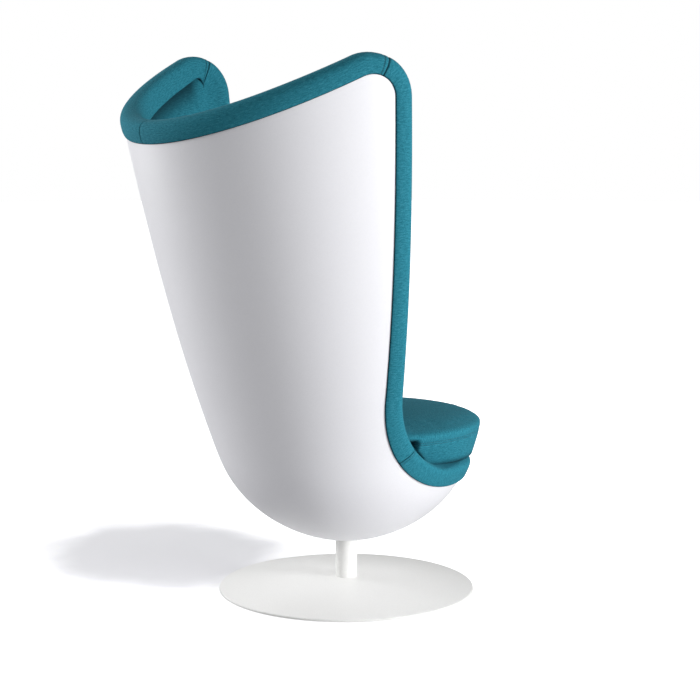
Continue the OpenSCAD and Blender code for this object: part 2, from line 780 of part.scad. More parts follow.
module seat_cushion() {
    count = len(cushion_rings);
    low = count * cushion_sides;
    color(fabric) polyhedron(
        concat(
            [for (q = cushion_rings) for (i = [0:cushion_sides - 1])
                cushion_point(full_turn * i / cushion_sides, q)],
            [
                [0, -cushion_front_y, cushion_z],
                [0, -cushion_front_y, cushion_z + cushion_side_h + cushion_crown]
            ]),
        concat(
            sheet_faces(count, cushion_sides, 0, false, true),
            [for (i = [0:cushion_sides - 1]) [low, i, (i + 1) % cushion_sides]],
            [for (i = [0:cushion_sides - 1])
                [low + 1, low - cushion_sides + (i + 1) % cushion_sides, low - cushion_sides + i]]),
        convexity = 2);
}

base_disc();
floor_felt();
ballast_plate();
foot_flange();
foot_nuts();
foot_bolts();
column_tube();
lower_bush();
upper_bush();
thrust_washer();
spindle();
retaining_washer();
retaining_clip();
mounting_plate();
plate_washers();
plate_bolts();
outer_shell();
shell_inserts();
deck_posts();
deck_ring();
seat_board();
deck_screws();
deck_pad();
hook_patches();
back_pad();
rim_roll_left();
rim_roll_right();
front_roll_left();
front_roll_right();
lip_roll();
seat_cushion();
loop_patches();
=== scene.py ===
"""Pod chair: a tall moulded bucket on a swivelling disc base, with a padded edge and a loose cushion."""

import json
import logging
import math
from dataclasses import dataclass, field
from enum import Enum

import bmesh
import bpy
import numpy as np
from mathutils import Matrix, Vector
from mathutils.bvhtree import BVHTree
from mathutils.interpolate import poly_3d_calc

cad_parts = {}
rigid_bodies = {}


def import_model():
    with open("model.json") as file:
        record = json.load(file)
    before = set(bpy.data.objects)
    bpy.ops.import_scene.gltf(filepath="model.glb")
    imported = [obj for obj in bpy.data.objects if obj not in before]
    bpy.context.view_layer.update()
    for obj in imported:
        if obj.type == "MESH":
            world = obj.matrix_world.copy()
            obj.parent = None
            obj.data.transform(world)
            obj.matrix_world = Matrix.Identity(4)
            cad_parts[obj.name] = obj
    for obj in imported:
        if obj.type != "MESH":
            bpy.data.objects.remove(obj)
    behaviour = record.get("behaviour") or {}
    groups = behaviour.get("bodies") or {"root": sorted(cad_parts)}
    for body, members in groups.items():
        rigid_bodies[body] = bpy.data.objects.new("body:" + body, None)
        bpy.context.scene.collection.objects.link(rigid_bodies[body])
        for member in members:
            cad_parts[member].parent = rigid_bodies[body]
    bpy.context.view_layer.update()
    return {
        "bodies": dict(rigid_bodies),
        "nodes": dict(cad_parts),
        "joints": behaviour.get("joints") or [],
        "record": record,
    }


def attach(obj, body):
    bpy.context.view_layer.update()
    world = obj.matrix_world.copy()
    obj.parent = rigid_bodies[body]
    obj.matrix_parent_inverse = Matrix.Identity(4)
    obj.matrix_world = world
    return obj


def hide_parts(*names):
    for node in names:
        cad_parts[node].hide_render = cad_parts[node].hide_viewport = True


LOG = logging.getLogger("pod_chair")
MM = 0.001
LOOP = 10.0  # the bucket's edge is counted round from the back's middle
HALF_LOOP = 5.0
EDGE_LENGTH = 4.6  # metres, about


class Body(Enum):
    """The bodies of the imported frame."""

    BASE = "base"
    SEAT = "seat"
    CUSHION = "cushion"


class Slot(Enum):
    """The record's material slots."""

    COATED_STEEL = "coated_steel"
    PLAIN_STEEL = "plain_steel"
    ZINC_STEEL = "zinc_steel"
    FELT = "felt"
    ACETAL = "acetal"
    POLYETHYLENE = "polyethylene"
    BRASS = "brass"
    PLYWOOD = "plywood"
    WOOL_FABRIC = "wool_fabric"
    HOOK_TAPE = "hook_tape"


def linear(hex_colour: str) -> tuple[float, float, float, float]:
    """Turns an sRGB hex colour into linear RGBA.

    Args:
        hex_colour: six hex digits after a hash.

    Returns:
        The linear colour with full alpha.
    """
    parts = [int(hex_colour[i : i + 2], 16) / 255 for i in (1, 3, 5)]
    r, g, b = (c / 12.92 if c <= 0.04045 else ((c + 0.055) / 1.055) ** 2.4 for c in parts)
    return (r, g, b, 1.0)


def from_back(u: np.ndarray | float) -> np.ndarray:
    """Place on the edge counted from the back's middle down either side, 0 to 5."""
    u = np.mod(u, LOOP)
    return np.where(u <= HALF_LOOP, u, LOOP - u)


def full_turn(count: int) -> np.ndarray:
    """Evenly spaced angles round a full turn."""
    return np.linspace(0, 2 * math.pi, count, endpoint=False)


def smooth(share: np.ndarray) -> np.ndarray:
    """Eases a share, held between 0 and 1, at both its ends."""
    w = np.clip(share, 0, 1)
    return w**2 * (3 - 2 * w)


def bezier(w: np.ndarray, a: float, b: float, c: float, d: float) -> np.ndarray:
    """Value of a cubic Bezier curve at a share of its way."""
    return a * (1 - w) ** 3 + 3 * b * (1 - w) ** 2 * w + 3 * c * (1 - w) * w**2 + d * w**3


def distances(points: np.ndarray, axis: int = 0) -> np.ndarray:
    """Distances run along rows of points, from 0 at each row's start."""
    steps = np.linalg.norm(np.diff(points, axis=axis), axis=-1)
    return np.insert(np.cumsum(steps, axis=axis), 0, 0, axis=axis)


class NodeSheet:
    """The node tree of a material or of the world, with one function that adds a node."""

    def __init__(self, name: str, world: bool = False) -> None:
        """Makes the material, or the world, and keeps its shader.

        Args:
            name: its name.
            world: whether it is the world.
        """
        self.owner = (bpy.data.worlds if world else bpy.data.materials).new(name)
        self.owner.use_nodes = True
        self.tree = self.owner.node_tree
        self.shader = next(n for n in self.tree.nodes if n.type in ("BSDF_PRINCIPLED", "BACKGROUND"))

    def add(
        self,
        kind: str,
        links: dict | None = None,
        values: dict | None = None,
        stops: list[tuple[float, str | float]] | None = None,
        **settings: object,
    ) -> bpy.types.Node:
        """Adds a node with its settings, values and incoming links.

        Args:
            kind: the node's type name without its ShaderNode prefix.
            links: input name or number to the output socket that feeds it.
            values: input name or number to its constant value.
            stops: a colour ramp's positions, each with an sRGB hex colour or a linear grey level.
            settings: attributes of the node itself.

        Returns:
            The new node.
        """
        node = self.tree.nodes.new("ShaderNode" + kind)
        for key, value in settings.items():
            setattr(node, key, value)
        for key, value in (values or {}).items():
            node.inputs[key].default_value = value
        for key, source in (links or {}).items():
            self.tree.links.new(source, node.inputs[key])
        if stops:
            elements = node.color_ramp.elements
            while len(elements) < len(stops):
                elements.new(0.5)
            for element, (position, colour) in zip(elements, stops):
                element.position = position
                element.color = linear(colour) if isinstance(colour, str) else (colour, colour, colour, 1)
        return node

    def feed(self, **sources: bpy.types.NodeSocket) -> None:
        """Links output sockets into the shader's inputs, named with underscores for spaces."""
        for key, source in sources.items():
            self.tree.links.new(source, self.shader.inputs[key.replace("_", " ")])

    def fix(self, **values: object) -> None:
        """Sets constants on the shader's own sockets, named with underscores for spaces."""
        for key, value in values.items():
            self.shader.inputs[key.replace("_", " ")].default_value = value


@dataclass(frozen=True)
class WovenWool:
    """Plain-woven wool upholstery cloth: dull, with a soft bloom at grazing angles and uneven yarn."""

    name: str = "woven_wool_cloth"
    deep: str = "#195868"
    mid: str = "#27788A"
    light: str = "#4294A6"
    thread_mm: float = 2.4  # the yarn is about 1.2 mm apart, drawn twice as coarse so that it shows
    fleck_mm: float = 2.6
    slub_mm: float = 11.0
    crossing_share: float = 0.16
    tones: tuple[float, float] = (0.55, 1.45)
    painted_shade_colour: str = "#0B2A33"  # painted shade for seams, folds and recesses, and under the hood's lip; it stays in any light
    painted_shade_strength: float = 0.85

    def material(self) -> bpy.types.Material:
        """Builds the cloth from its weave coordinates in metres.

        Returns:
            The material.
        """
        sheet = NodeSheet(self.name)
        weave = sheet.add("UVMap", uv_map="weave").outputs["UV"]
        split = sheet.add("SeparateXYZ", {"Vector": weave})
        turns = 2 * math.pi / (self.thread_mm * MM)
        waves = []
        for axis in ("X", "Y"):
            scaled = sheet.add("Math", {0: split.outputs[axis]}, {1: turns}, operation="MULTIPLY")
            waves.append(sheet.add("Math", {0: scaled.outputs[0]}, operation="SINE").outputs[0])
        crossing = sheet.add("Math", {0: waves[0], 1: waves[1]}, operation="MULTIPLY").outputs[0]
        fleck_scale = (1 / (self.fleck_mm * MM),) * 3
        slub_scale = (1 / (self.slub_mm * MM), 1 / (self.thread_mm * MM), 1.0)
        noises = []
        for scale, detail, rough in ((fleck_scale, 3.0, 0.65), (slub_scale, 2.0, 0.5)):
            at = sheet.add("Mapping", {"Vector": weave}, {"Scale": scale}).outputs[0]
            look = {"Scale": 1.0, "Detail": detail, "Roughness": rough}
            noises.append(sheet.add("TexNoise", {"Vector": at}, look).outputs["Fac"])
        mixed = sheet.add("Math", {0: noises[0], 1: noises[1]}, operation="ADD").outputs[0]
        tone = sheet.add("Math", {0: crossing, 2: mixed}, {1: self.crossing_share}, operation="MULTIPLY_ADD")
        low, high = self.tones
        spread = sheet.add("MapRange", {"Value": tone.outputs[0]}, {"From Min": low, "From Max": high}).outputs[0]
        ramp = sheet.add("ValToRGB", {"Fac": spread}, stops=[(0.0, self.deep), (0.5, self.mid), (1.0, self.light)])
        # Painted shade: the cloth is darkened towards a near-black teal where the mesh asks for it, in seams, folds
        # and recesses.
        painted_shade = sheet.add("Attribute", attribute_name="painted_shade").outputs["Fac"]
        painted_shade_share = sheet.add("Math", {0: painted_shade}, {1: self.painted_shade_strength}, operation="MULTIPLY").outputs[0]
        cloth = sheet.add("Mix", {0: painted_shade_share, 6: ramp.outputs["Color"]}, {7: linear(self.painted_shade_colour)}, data_type="RGBA")
        height = sheet.add("Math", {0: crossing, 2: noises[0]}, {1: 0.5}, operation="MULTIPLY_ADD").outputs[0]
        bump = sheet.add("Bump", {"Height": height}, {"Strength": 0.3, "Distance": 0.0005})
        sheet.feed(Base_Color=cloth.outputs[2], Normal=bump.outputs[0])
        sheet.fix(Roughness=0.92, Specular_IOR_Level=0.1, Sheen_Weight=0.04, Sheen_Roughness=0.5)
        sheet.fix(Sheen_Tint=linear("#8FC7D3"))
        return sheet.owner


@dataclass(frozen=True)
class GrainedFinish:
    """A finish whose fine grain shows in its colour, and in its gloss and relief where it has them."""

    name: str
    colour: str
    dark: str
    grain_mm: float
    detail: float = 2.0
    gloss: tuple[float, float] | None = None  # roughness at the grain's two ends
    relief: tuple[float, float] | None = None  # the bump's strength, and its height in metres
    cloud_mm: float | None = None  # size of the gloss's own patches, where they aren't the grain's
    roughness: float = 0.5  # where gloss isn't given
    sheen: float = 0.0
    metallic: float = 0.0
    ior: float = 1.5

    def material(self) -> bpy.types.Material:
        """Builds the grain.

        Returns:
            The material.
        """
        sheet = NodeSheet(self.name)
        place = sheet.add("TexCoord").outputs["Object"]
        scale = {"Scale": 1 / (self.grain_mm * MM), "Detail": self.detail}
        grain = cloud = sheet.add("TexNoise", {"Vector": place}, scale).outputs["Fac"]
        if self.cloud_mm:
            scale = {"Scale": 1 / (self.cloud_mm * MM), "Detail": self.detail}
            cloud = sheet.add("TexNoise", {"Vector": place}, scale).outputs["Fac"]
        ramp = sheet.add("ValToRGB", {"Fac": grain}, stops=[(0.3, self.dark), (0.7, self.colour)])
        sheet.feed(Base_Color=ramp.outputs["Color"])
        if self.gloss:
            low, high = self.gloss
            rough = sheet.add("MapRange", {"Value": cloud}, {"To Min": low, "To Max": high})
            sheet.feed(Roughness=rough.outputs[0])
        if self.relief:
            strength, height = self.relief
            bump = sheet.add("Bump", {"Height": grain}, {"Strength": strength, "Distance": height})
            sheet.feed(Normal=bump.outputs[0])
        sheet.fix(Roughness=self.roughness, Sheen_Weight=self.sheen, Metallic=self.metallic, IOR=self.ior)
        return sheet.owner


@dataclass(frozen=True)
class BirchPlywood:
    """Birch plywood: pale veneer with long grain, and thin darker glue lines at its edge."""

    name: str = "birch_plywood"
    ply_mm: float = 1.5
    grain_mm: float = 3.0

    def material(self) -> bpy.types.Material:
        """Builds the grain along X and the glue lines across Z.

        Returns:
            The material.
        """
        sheet = NodeSheet(self.name)
        place = sheet.add("TexCoord").outputs["Object"]
        along = sheet.add("Mapping", {"Vector": place}, {"Scale": (8.0, 1 / (self.grain_mm * MM), 8.0)})
        grain = sheet.add("TexNoise", {"Vector": along.outputs[0]}, {"Scale": 1.0, "Detail": 4.0}).outputs["Fac"]
        face = sheet.add("ValToRGB", {"Fac": grain}, stops=[(0.3, "#C9A878"), (0.7, "#E2C89D")]).outputs["Color"]
        height = sheet.add("SeparateXYZ", {"Vector": place}).outputs["Z"]
        plies = sheet.add("Math", {0: height}, {1: self.ply_mm * MM}, operation="PINGPONG")
        line = sheet.add("MapRange", {"Value": plies.outputs[0]}, {"From Max": 0.0002, "To Min": 0.55, "To Max": 0.0})
        mixed = sheet.add("Mix", {0: line.outputs[0], 6: face}, {7: linear("#7A5A38")}, data_type="RGBA")
        sheet.feed(Base_Color=mixed.outputs[2])
        sheet.fix(Roughness=0.6)
        return sheet.owner


FIBRE = (0.3, 0.0004)  # relief of a fibrous or machined face
FINISHES: dict[Slot, WovenWool | GrainedFinish | BirchPlywood] = {
    # Steel under a satin white powder coat: a fine even texture, about 0.5 mm, drawn coarser so that it shows.
    Slot.COATED_STEEL: GrainedFinish(
        "powder_coated_steel", "#F1F1EF", "#EBEBE9", 2.5, gloss=(0.36, 0.46), relief=(0.15, 0.0002)
    ),
    # Hot rolled steel: dark, cloudy and dull.
    Slot.PLAIN_STEEL: GrainedFinish("hot_rolled_steel", "#77787C", "#5C5D61", 2.0, 3.0, (0.42, 0.58), metallic=1.0),
    # Zinc plated steel: pale and fairly bright.
    Slot.ZINC_STEEL: GrainedFinish("zinc_plated_steel", "#BDBFC4", "#A3A5AB", 1.0, 3.0, (0.24, 0.4), metallic=1.0),
    # Turned brass: warm and fairly bright.
    Slot.BRASS: GrainedFinish("turned_brass", "#D2A95B", "#B98F44", 0.8, 3.0, (0.22, 0.38), metallic=1.0),
    # Pressed wool felt: grey, fibrous and quite dull.
    Slot.FELT: GrainedFinish(
        "pressed_wool_felt", "#43464A", "#303337", 1.2, 3.0, relief=FIBRE, roughness=0.95, sheen=0.2
    ),
    # Machined acetal: near black, with a satin face.
    Slot.ACETAL: GrainedFinish("black_acetal", "#1B1C1F", "#151619", 0.8, 3.0, relief=FIBRE, roughness=0.35),
    # Woven hook and loop tape: black and dull.
    Slot.HOOK_TAPE: GrainedFinish(
        "woven_hook_tape", "#1C1E22", "#101114", 1.0, 3.0, relief=FIBRE, roughness=0.8, sheen=0.1
    ),
    # Rotationally moulded polyethylene: a satin white skin with a faint orange peel and a waxy, uneven gloss.
    Slot.POLYETHYLENE: GrainedFinish(
        "rotomoulded_polyethylene", "#F1F1F5", "#EFEFF3", 4.0, 2.0, (0.42, 0.5), (0.06, 0.0002), 1000 / 9, ior=1.51
    ),
    Slot.PLYWOOD: BirchPlywood(),
    Slot.WOOL_FABRIC: WovenWool(),
}
# Bonded polyester sewing thread: a little glossier and darker than the cloth that it sinks into.
THREAD = GrainedFinish("bonded_polyester_thread", "#2A7F93", "#1B5C6D", 10 / 9, 1.0, roughness=0.6, sheen=0.1)


@dataclass
class Wardrobe:
    """Makes each finish once and dresses pieces in it."""

    made: dict[str, bpy.types.Material] = field(default_factory=dict)

    def dress(self, piece: bpy.types.Object, slot: Slot, thread: bool = False) -> None:
        """Gives a piece its only material.

        Args:
            piece: the mesh object.
            slot: the record's slot.
            thread: whether the piece is the slot's sewing thread.
        """
        finish = THREAD if thread else FINISHES[slot]
        if finish.name not in self.made:
            self.made[finish.name] = finish.material()
        piece.data.materials.clear()
        piece.data.materials.append(self.made[finish.name])

    def upholster(self, piece: bpy.types.Object, node: str, body: Body) -> bpy.types.Object:
        """Args:
            piece: the mesh object.
            node: the CAD node that it replaces.
            body: the body that it rides on.

        Returns:
            The same piece.
        """
        face_outward(piece)
        self.dress(piece, Slot.WOOL_FABRIC)
        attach(piece, body.value)
        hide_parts(node)
        return piece


def mesh_piece(
    name: str,
    points: np.ndarray,
    faces: list[tuple[int, ...]],
    weave: np.ndarray | None = None,
    painted_shade: np.ndarray | None = None,
) -> bpy.types.Object:
    """Makes a smooth-shaded mesh object.

    Args:
        name: the object's name.
        points: n by 3 array of metres.
        faces: point numbers of each face.
        weave: n by 2 weave coordinates in metres for the points, if the piece is cloth.
        painted_shade: how much painted shade each point gets in a seam, fold or recess, 0 to 1, if the piece is
            cloth.

    Returns:
        The object, linked to the scene.
    """
    mesh = bpy.data.meshes.new(name)
    mesh.from_pydata(np.asarray(points, float).tolist(), [], faces)
    mesh.update()
    mesh.polygons.foreach_set("use_smooth", [True] * len(mesh.polygons))
    if weave is not None:
        corners = np.zeros(len(mesh.loops), np.int32)
        mesh.loops.foreach_get("vertex_index", corners)
        flat = np.asarray(weave, np.float32)[corners]
        mesh.uv_layers.new(name="weave").data.foreach_set("uv", flat.ravel())
    if painted_shade is not None:
        depth = mesh.attributes.new("painted_shade", "FLOAT", "POINT")
        depth.data.foreach_set("value", np.asarray(painted_shade, np.float32).ravel())
    piece = bpy.data.objects.new(name, mesh)
    bpy.context.scene.collection.objects.link(piece)
    return piece


def grid_faces(rows: int, cols: int, closed: bool, first: int = 0) -> list[tuple[int, ...]]:
    """Quads of a grid of points.

    Args:
        rows: how many rows.
        cols: how many points in a row.
        closed: whether each row runs round to its start.
        first: number of the grid's first point.

    Returns:
        The quads' point numbers.
    """
    last = cols if closed else cols - 1
    return [
        (
            first + j * cols + i,
            first + j * cols + (i + 1) % cols,
            first + (j + 1) * cols + (i + 1) % cols,
            first + (j + 1) * cols + i,
        )
        for j in range(rows - 1)
        for i in range(last)
    ]


def end_faces(rows: int, cols: int, first: int = 0) -> list[tuple[int, ...]]:
    """The two faces that close a tube of rings."""
    last = first + (rows - 1) * cols
    return [tuple(range(first, first + cols))[::-1], tuple(range(last, last + cols))]


def wall_faces(loop: list[int], size: int) -> list[tuple[int, ...]]:
    """Faces between a loop of one sheet and the same loop of the next sheet, which has size higher numbers."""
    return [(a, b, size + b, size + a) for a, b in zip(loop, loop[1:] + loop[:1])]


def face_outward(piece: bpy.types.Object) -> None:
    """Makes all faces of a closed piece point outward.

    Args:
        piece: the mesh object.
    """
    shape = bmesh.new()
    shape.from_mesh(piece.data)
    bmesh.ops.recalc_face_normals(shape, faces=shape.faces)
    shape.to_mesh(piece.data)
    shape.free()


@dataclass(frozen=True)
class StitchLine:
    """Single stitches of thread, laid end to end in a sewn line."""

    length: float = 0.0036
    gap: float = 0.0010
    thread_r: float = 0.00038
    rise: float = 0.0002
    turns: int = 6
    steps: int = 5

    def sew(
        self, name: str, lines: list[tuple[np.ndarray, np.ndarray]], body: Body, wardrobe: Wardrobe
    ) -> bpy.types.Object:
        """Lays stitches along lines on a cloth face.

        Args:
            name: the object's name.
            lines: for each line its points and the cloth's outward directions there.
            body: the body that the stitches ride on.
            wardrobe: the finishes.

        Returns:
            The stitches as one object.
        """
        points, faces = [], []
        for line, out in lines:
            run = distances(line)
            for start in np.arange(self.gap, run[-1] - self.length, self.length + self.gap):
                share = np.linspace(0, 1, self.steps)
                at = start + share * self.length
                path = np.stack([np.interp(at, run, line[:, k]) for k in range(3)], -1)
                up = np.stack([np.interp(at, run, out[:, k]) for k in range(3)], -1)
                up /= np.linalg.norm(up, axis=1)[:, None]
                side = np.cross(up, path[-1] - path[0])
                side /= np.linalg.norm(side, axis=1)[:, None]
                arch = np.sin(math.pi * share)[:, None]
                path = path + up * (self.rise + self.thread_r * (arch - 0.6))
                thick = self.thread_r * (0.35 + 0.65 * np.sqrt(arch))
                first = len(points) * self.turns
                turn = full_turn(self.turns)[:, None]
                for k in range(self.steps):
                    points.append(path[k] + thick[k] * (np.cos(turn) * side[k] + np.sin(turn) * up[k]))
                faces += grid_faces(self.steps, self.turns, True, first) + end_faces(self.steps, self.turns, first)
        piece = mesh_piece(name, np.concatenate(points), faces)
        face_outward(piece)
        wardrobe.dress(piece, Slot.WOOL_FABRIC, thread=True)
        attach(piece, body.value)
        return piece


@dataclass(frozen=True)
class BucketForm:
    """The moulded bucket's outer face: round sections that flare upward and lean back, in metres."""

    foot: float = 0.123
    height: float = 1.127
    flare: tuple[float, float, float, float] = (0.219, 0.379, 0.419, 0.444)
    bowl_h: float = 0.228
    bowl_power: float = 2.84
    lean: float = 0.1055
    lean_power: float = 1.7

    def radius(self, h: np.ndarray) -> np.ndarray:
        """Radius of the section at a height above the bucket's bottom."""
        left = 1 - np.clip(h / self.bowl_h, 0, 1)
        return bezier(h / self.height, *self.flare) * np.sqrt(1 - left**self.bowl_power)

    def set_back(self, h: np.ndarray) -> np.ndarray:
        """Distance that the section's centre is set back."""
        return self.lean * (np.clip(h, 0, None) / self.height) ** self.lean_power

    def slopes(self, h: np.ndarray) -> tuple[np.ndarray, np.ndarray]:
        """Change of radius and of set back with height, found over a small step."""
        d = 1e-5
        return tuple((reach(h + d) - reach(h - d)) / (2 * d) for reach in (self.radius, self.set_back))

    def normal(self, phi: np.ndarray, h: np.ndarray) -> np.ndarray:
        """Outward direction of the face.

        Args:
            phi: azimuth in radians, 0 towards +X.
            h: heights above the bottom.

        Returns:
            Unit vectors in the last axis.
        """
        grow, tip = self.slopes(h)
        q = -(grow + tip * np.sin(phi))
        return np.stack([np.cos(phi), np.sin(phi), q], -1) / np.sqrt(1 + q * q)[..., None]

    def point(self, phi: np.ndarray, h: np.ndarray, n: np.ndarray | float) -> np.ndarray:
        """A point at a distance outside the face.

        Args:
            phi: azimuth in radians.
            h: heights above the bottom.
            n: distance outside the face.

        Returns:
            Points in the last axis.
        """
        r = self.radius(h)
        face = np.stack([r * np.cos(phi), self.set_back(h) + r * np.sin(phi), self.foot + h], -1)
        return face + np.asarray(n)[..., None] * self.normal(phi, h)


@dataclass(frozen=True)
class EdgeLine:
    """The bucket's edge: 0 at the back's middle, 5 at the lip's middle, and on to 10 round the -X side."""

    form: BucketForm = BucketForm()
    back_h: float = 0.931
    rim_angle: float = math.radians(25.9)
    wing_y: float = 0.138
    wing_r: float = 0.0495
    front_mid_y: float = 0.118
    front_low_y: float = 0.0995
    front_low_h: float = 0.385
    sweep_drop: float = 0.125
    sweep_reach: float = 0.166
    lip_h: float = 0.1555
    lip_run: float = 0.150
    belt_share: float = 0.6
    belt_feet: tuple[float, ...] = (90, 42, 34, 14, -36, -90)  # degrees at the belt, for places 0 to 5

    def side_view(self, s: np.ndarray) -> tuple[np.ndarray, np.ndarray]:
        """The edge in side view.

        Args:
            s: place on the edge, 0 to 5.

        Returns:
            Y and height above the bucket's bottom.
        """
        form = self.form
        back_y = float(form.set_back(np.array(self.back_h)) + form.radius(np.array(self.back_h)))
        lip_y = float(form.set_back(np.array(self.lip_h)) - form.radius(np.array(self.lip_h)))
        slope = math.tan(self.rim_angle)
        centre_y = self.wing_y + self.wing_r
        centre_h = self.back_h + slope * (back_y - centre_y) - self.wing_r / math.cos(self.rim_angle)
        end_y = centre_y + self.wing_r * math.sin(self.rim_angle)
        pull = 2 * (self.front_mid_y - self.front_low_y) / (centre_h - self.front_low_h)
        y, h = np.zeros_like(s), np.zeros_like(s)
        part = [s < 1, (s >= 1) & (s < 2), (s >= 2) & (s < 3), (s >= 3) & (s < 4), s >= 4]
        w = s[part[0]]
        y[part[0]] = back_y + (end_y - back_y) * w**2
        h[part[0]] = self.back_h + slope * (back_y - y[part[0]])
        a = (math.pi / 2 - self.rim_angle) * (2 - s[part[1]]) + math.pi * (s[part[1]] - 1)
        y[part[1]] = centre_y + self.wing_r * np.cos(a)
        h[part[1]] = centre_h + self.wing_r * np.sin(a)
        w = s[part[2]] - 2
        y[part[2]] = self.wing_y * (1 - w) ** 2 + 2 * self.front_mid_y * (1 - w) * w + self.front_low_y * w**2
        h[part[2]] = centre_h + (self.front_low_h - centre_h) * w
        w = s[part[3]] - 3
        low_y, low_h, run, drop = self.front_low_y, self.front_low_h, self.lip_run, self.sweep_drop
        y[part[3]] = bezier(w, low_y, low_y - pull * drop, self.sweep_reach - run, -run)
        h[part[3]] = bezier(w, low_h, low_h - drop, self.lip_h, self.lip_h)
        w = s[part[4]] - 4
        y[part[4]] = lip_y + (-self.lip_run - lip_y) * (1 - w) ** 2
        h[part[4]] = self.lip_h
        return y, h

    def place(self, u: np.ndarray) -> tuple[np.ndarray, np.ndarray]:
        """Azimuth and height of the edge.

        Args:
            u: place on the whole loop, 0 to 10 and beyond either end.

        Returns:
            Azimuth in radians and height above the bucket's bottom.
        """
        y, h = self.side_view(from_back(u))
        phi = np.arcsin(np.clip((y - self.form.set_back(h)) / self.form.radius(h), -1, 1))
        return np.where(np.mod(u, LOOP) <= HALF_LOOP, phi, math.pi - phi), h

    def point(self, u: np.ndarray) -> np.ndarray:
        """Points of the edge on the outer face."""
        return self.form.point(*self.place(u), 0.0)

    def off(self, u: np.ndarray, t: np.ndarray, n: np.ndarray) -> np.ndarray:
        """Points beyond the edge, along the bucket's face carried on.

        Args:
            u: places on the loop.
            t: distances beyond the edge.
            n: distances outside the face.

        Returns:
            Points in the last axis.
        """
        phi, h = self.place(u)
        run = self.point(u + 0.01) - self.point(u - 0.01)
        run /= np.linalg.norm(run, axis=-1)[..., None]
        out = np.cross(run, self.form.normal(phi, h))
        tip = self.form.slopes(h)[1]
        across = -out[..., 0] * np.sin(phi) + out[..., 1] * np.cos(phi)
        rate = (across - out[..., 2] * tip * np.cos(phi)) / self.form.radius(h)
        return self.form.point(phi + rate * t, h + out[..., 2] * t, n)

    def columns(self, u: np.ndarray) -> tuple[np.ndarray, np.ndarray, np.ndarray]:
        """Columns that rise over the bucket's face from its belt to the edge.

        Args:
            u: the columns' places on the edge.

        Returns:
            Azimuth at the belt, and azimuth and height at the edge.
        """
        phi, h = self.place(u)
        foot = np.radians(np.interp(from_back(u), range(len(self.belt_feet)), self.belt_feet))
        foot = np.where(np.mod(u, LOOP) <= HALF_LOOP, foot, math.pi - foot)
        return foot, phi + 2 * math.pi * np.round((foot - phi) / (2 * math.pi)), h

    def spaced(self, first: float, last: float, step: float) -> tuple[np.ndarray, np.ndarray]:
        """Places at even distances along a stretch of the edge.

        Args:
            first: start of the stretch.
            last: end of the stretch.
            step: about how far apart, in metres.

        Returns:
            The places and their distances from the stretch's start.
        """
        fine = np.linspace(first, last, 1500)
        run = distances(self.point(fine))
        count = max(4, int(round(run[-1] / step)))
        along = np.linspace(0, run[-1], count + 1)
        return np.interp(along, run, fine), along


@dataclass
class OuterShell:
    """The white moulded bucket, with its wall, hub hole and four bosses."""

    edge: EdgeLine
    wall: float = 0.006
    tongue: float = 0.018
    hole_r: float = 0.0225
    boss_d: float = 0.030
    boss_circle_r: float = 0.100
    plate_h: float = 0.039
    boss_bevel: float = 0.001
    boss_slack: float = 0.0002
    columns: int = 640
    bowl_rows: int = 40
    column_rows: int = 90
    tongue_rows: int = 4

    def sheet(self, n: float) -> np.ndarray:
        """Rows of points from the hub's hole to the tongue inside the roll.

        Args:
            n: distance outside the outer face.

        Returns:
            Rows by columns by 3 array.
        """
        form = self.edge.form
        u, _ = self.edge.spaced(0, LOOP, EDGE_LENGTH / self.columns)
        u = u[:-1]
        foot, phi, h = self.edge.columns(u)
        hole_h = form.bowl_h / form.bowl_power * (self.hole_r / form.flare[0]) ** 2
        belt = self.edge.belt_share * form.bowl_h
        rows = []
        for w in np.linspace(0, 1, self.bowl_rows)[:-1]:
            rows.append(form.point(foot, np.full_like(foot, hole_h + (belt - hole_h) * w**2), n))
        for w in np.linspace(0, 1, self.column_rows):
            rows.append(form.point(foot + (phi - foot) * w, belt + (h - belt) * w, n))
        for t in np.linspace(0, self.tongue, self.tongue_rows + 1)[1:]:
            rows.append(self.edge.off(u, np.full_like(u, t), np.full_like(u, n)))
        return np.array(rows)

    def build(self, wardrobe: Wardrobe) -> bpy.types.Object:
        """Builds, dresses and places the shell.

        Args:
            wardrobe: the finishes.

        Returns:
            The shell.
        """
        outer, inner = self.sheet(0.0), self.sheet(-self.wall)
        rows, cols = outer.shape[:2]
        size = rows * cols
        faces = grid_faces(rows, cols, True) + grid_faces(rows, cols, True, size)
        for low in (0, (rows - 1) * cols):
            faces += wall_faces(list(range(low, low + cols)), size)
        shell = mesh_piece("bucket", np.concatenate([outer.reshape(-1, 3), inner.reshape(-1, 3)]), faces)
        face_outward(shell)
        self.add_bosses(shell)
        wardrobe.dress(shell, Slot.POLYETHYLENE)
        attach(shell, Body.SEAT.value)
        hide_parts("outer_shell")
        return shell

    def add_bosses(self, shell: bpy.types.Object) -> None:
        """Adds the four bosses under the mounting plate.

        Args:
            shell: the shell's object.
        """
        form = self.edge.form
        reach = (self.boss_circle_r + self.boss_d / 2) / form.flare[0]
        low = form.foot + form.bowl_h / form.bowl_power * reach**2
        high = form.foot + self.plate_h
        shape = bmesh.new()
        shape.from_mesh(shell.data)
        for k in range(4):
            a = math.radians(45 + 90 * k)
            centre = Vector((self.boss_circle_r * math.cos(a), self.boss_circle_r * math.sin(a), (low + high) / 2))
            made = bmesh.ops.create_cone(
                shape,
                cap_ends=True,
                segments=48,
                radius1=self.boss_d / 2,
                radius2=self.boss_d / 2 - 0.0008,
                depth=high - low - self.boss_slack,
                matrix=Matrix.Translation(centre),
            )
            rim = [e for e in {e for v in made["verts"] for e in v.link_edges} if abs(e.calc_face_angle(0)) > 1]
            bmesh.ops.bevel(shape, geom=rim, offset=self.boss_bevel, segments=2, affect="EDGES")
        shape.to_mesh(shell.data)
        shape.free()


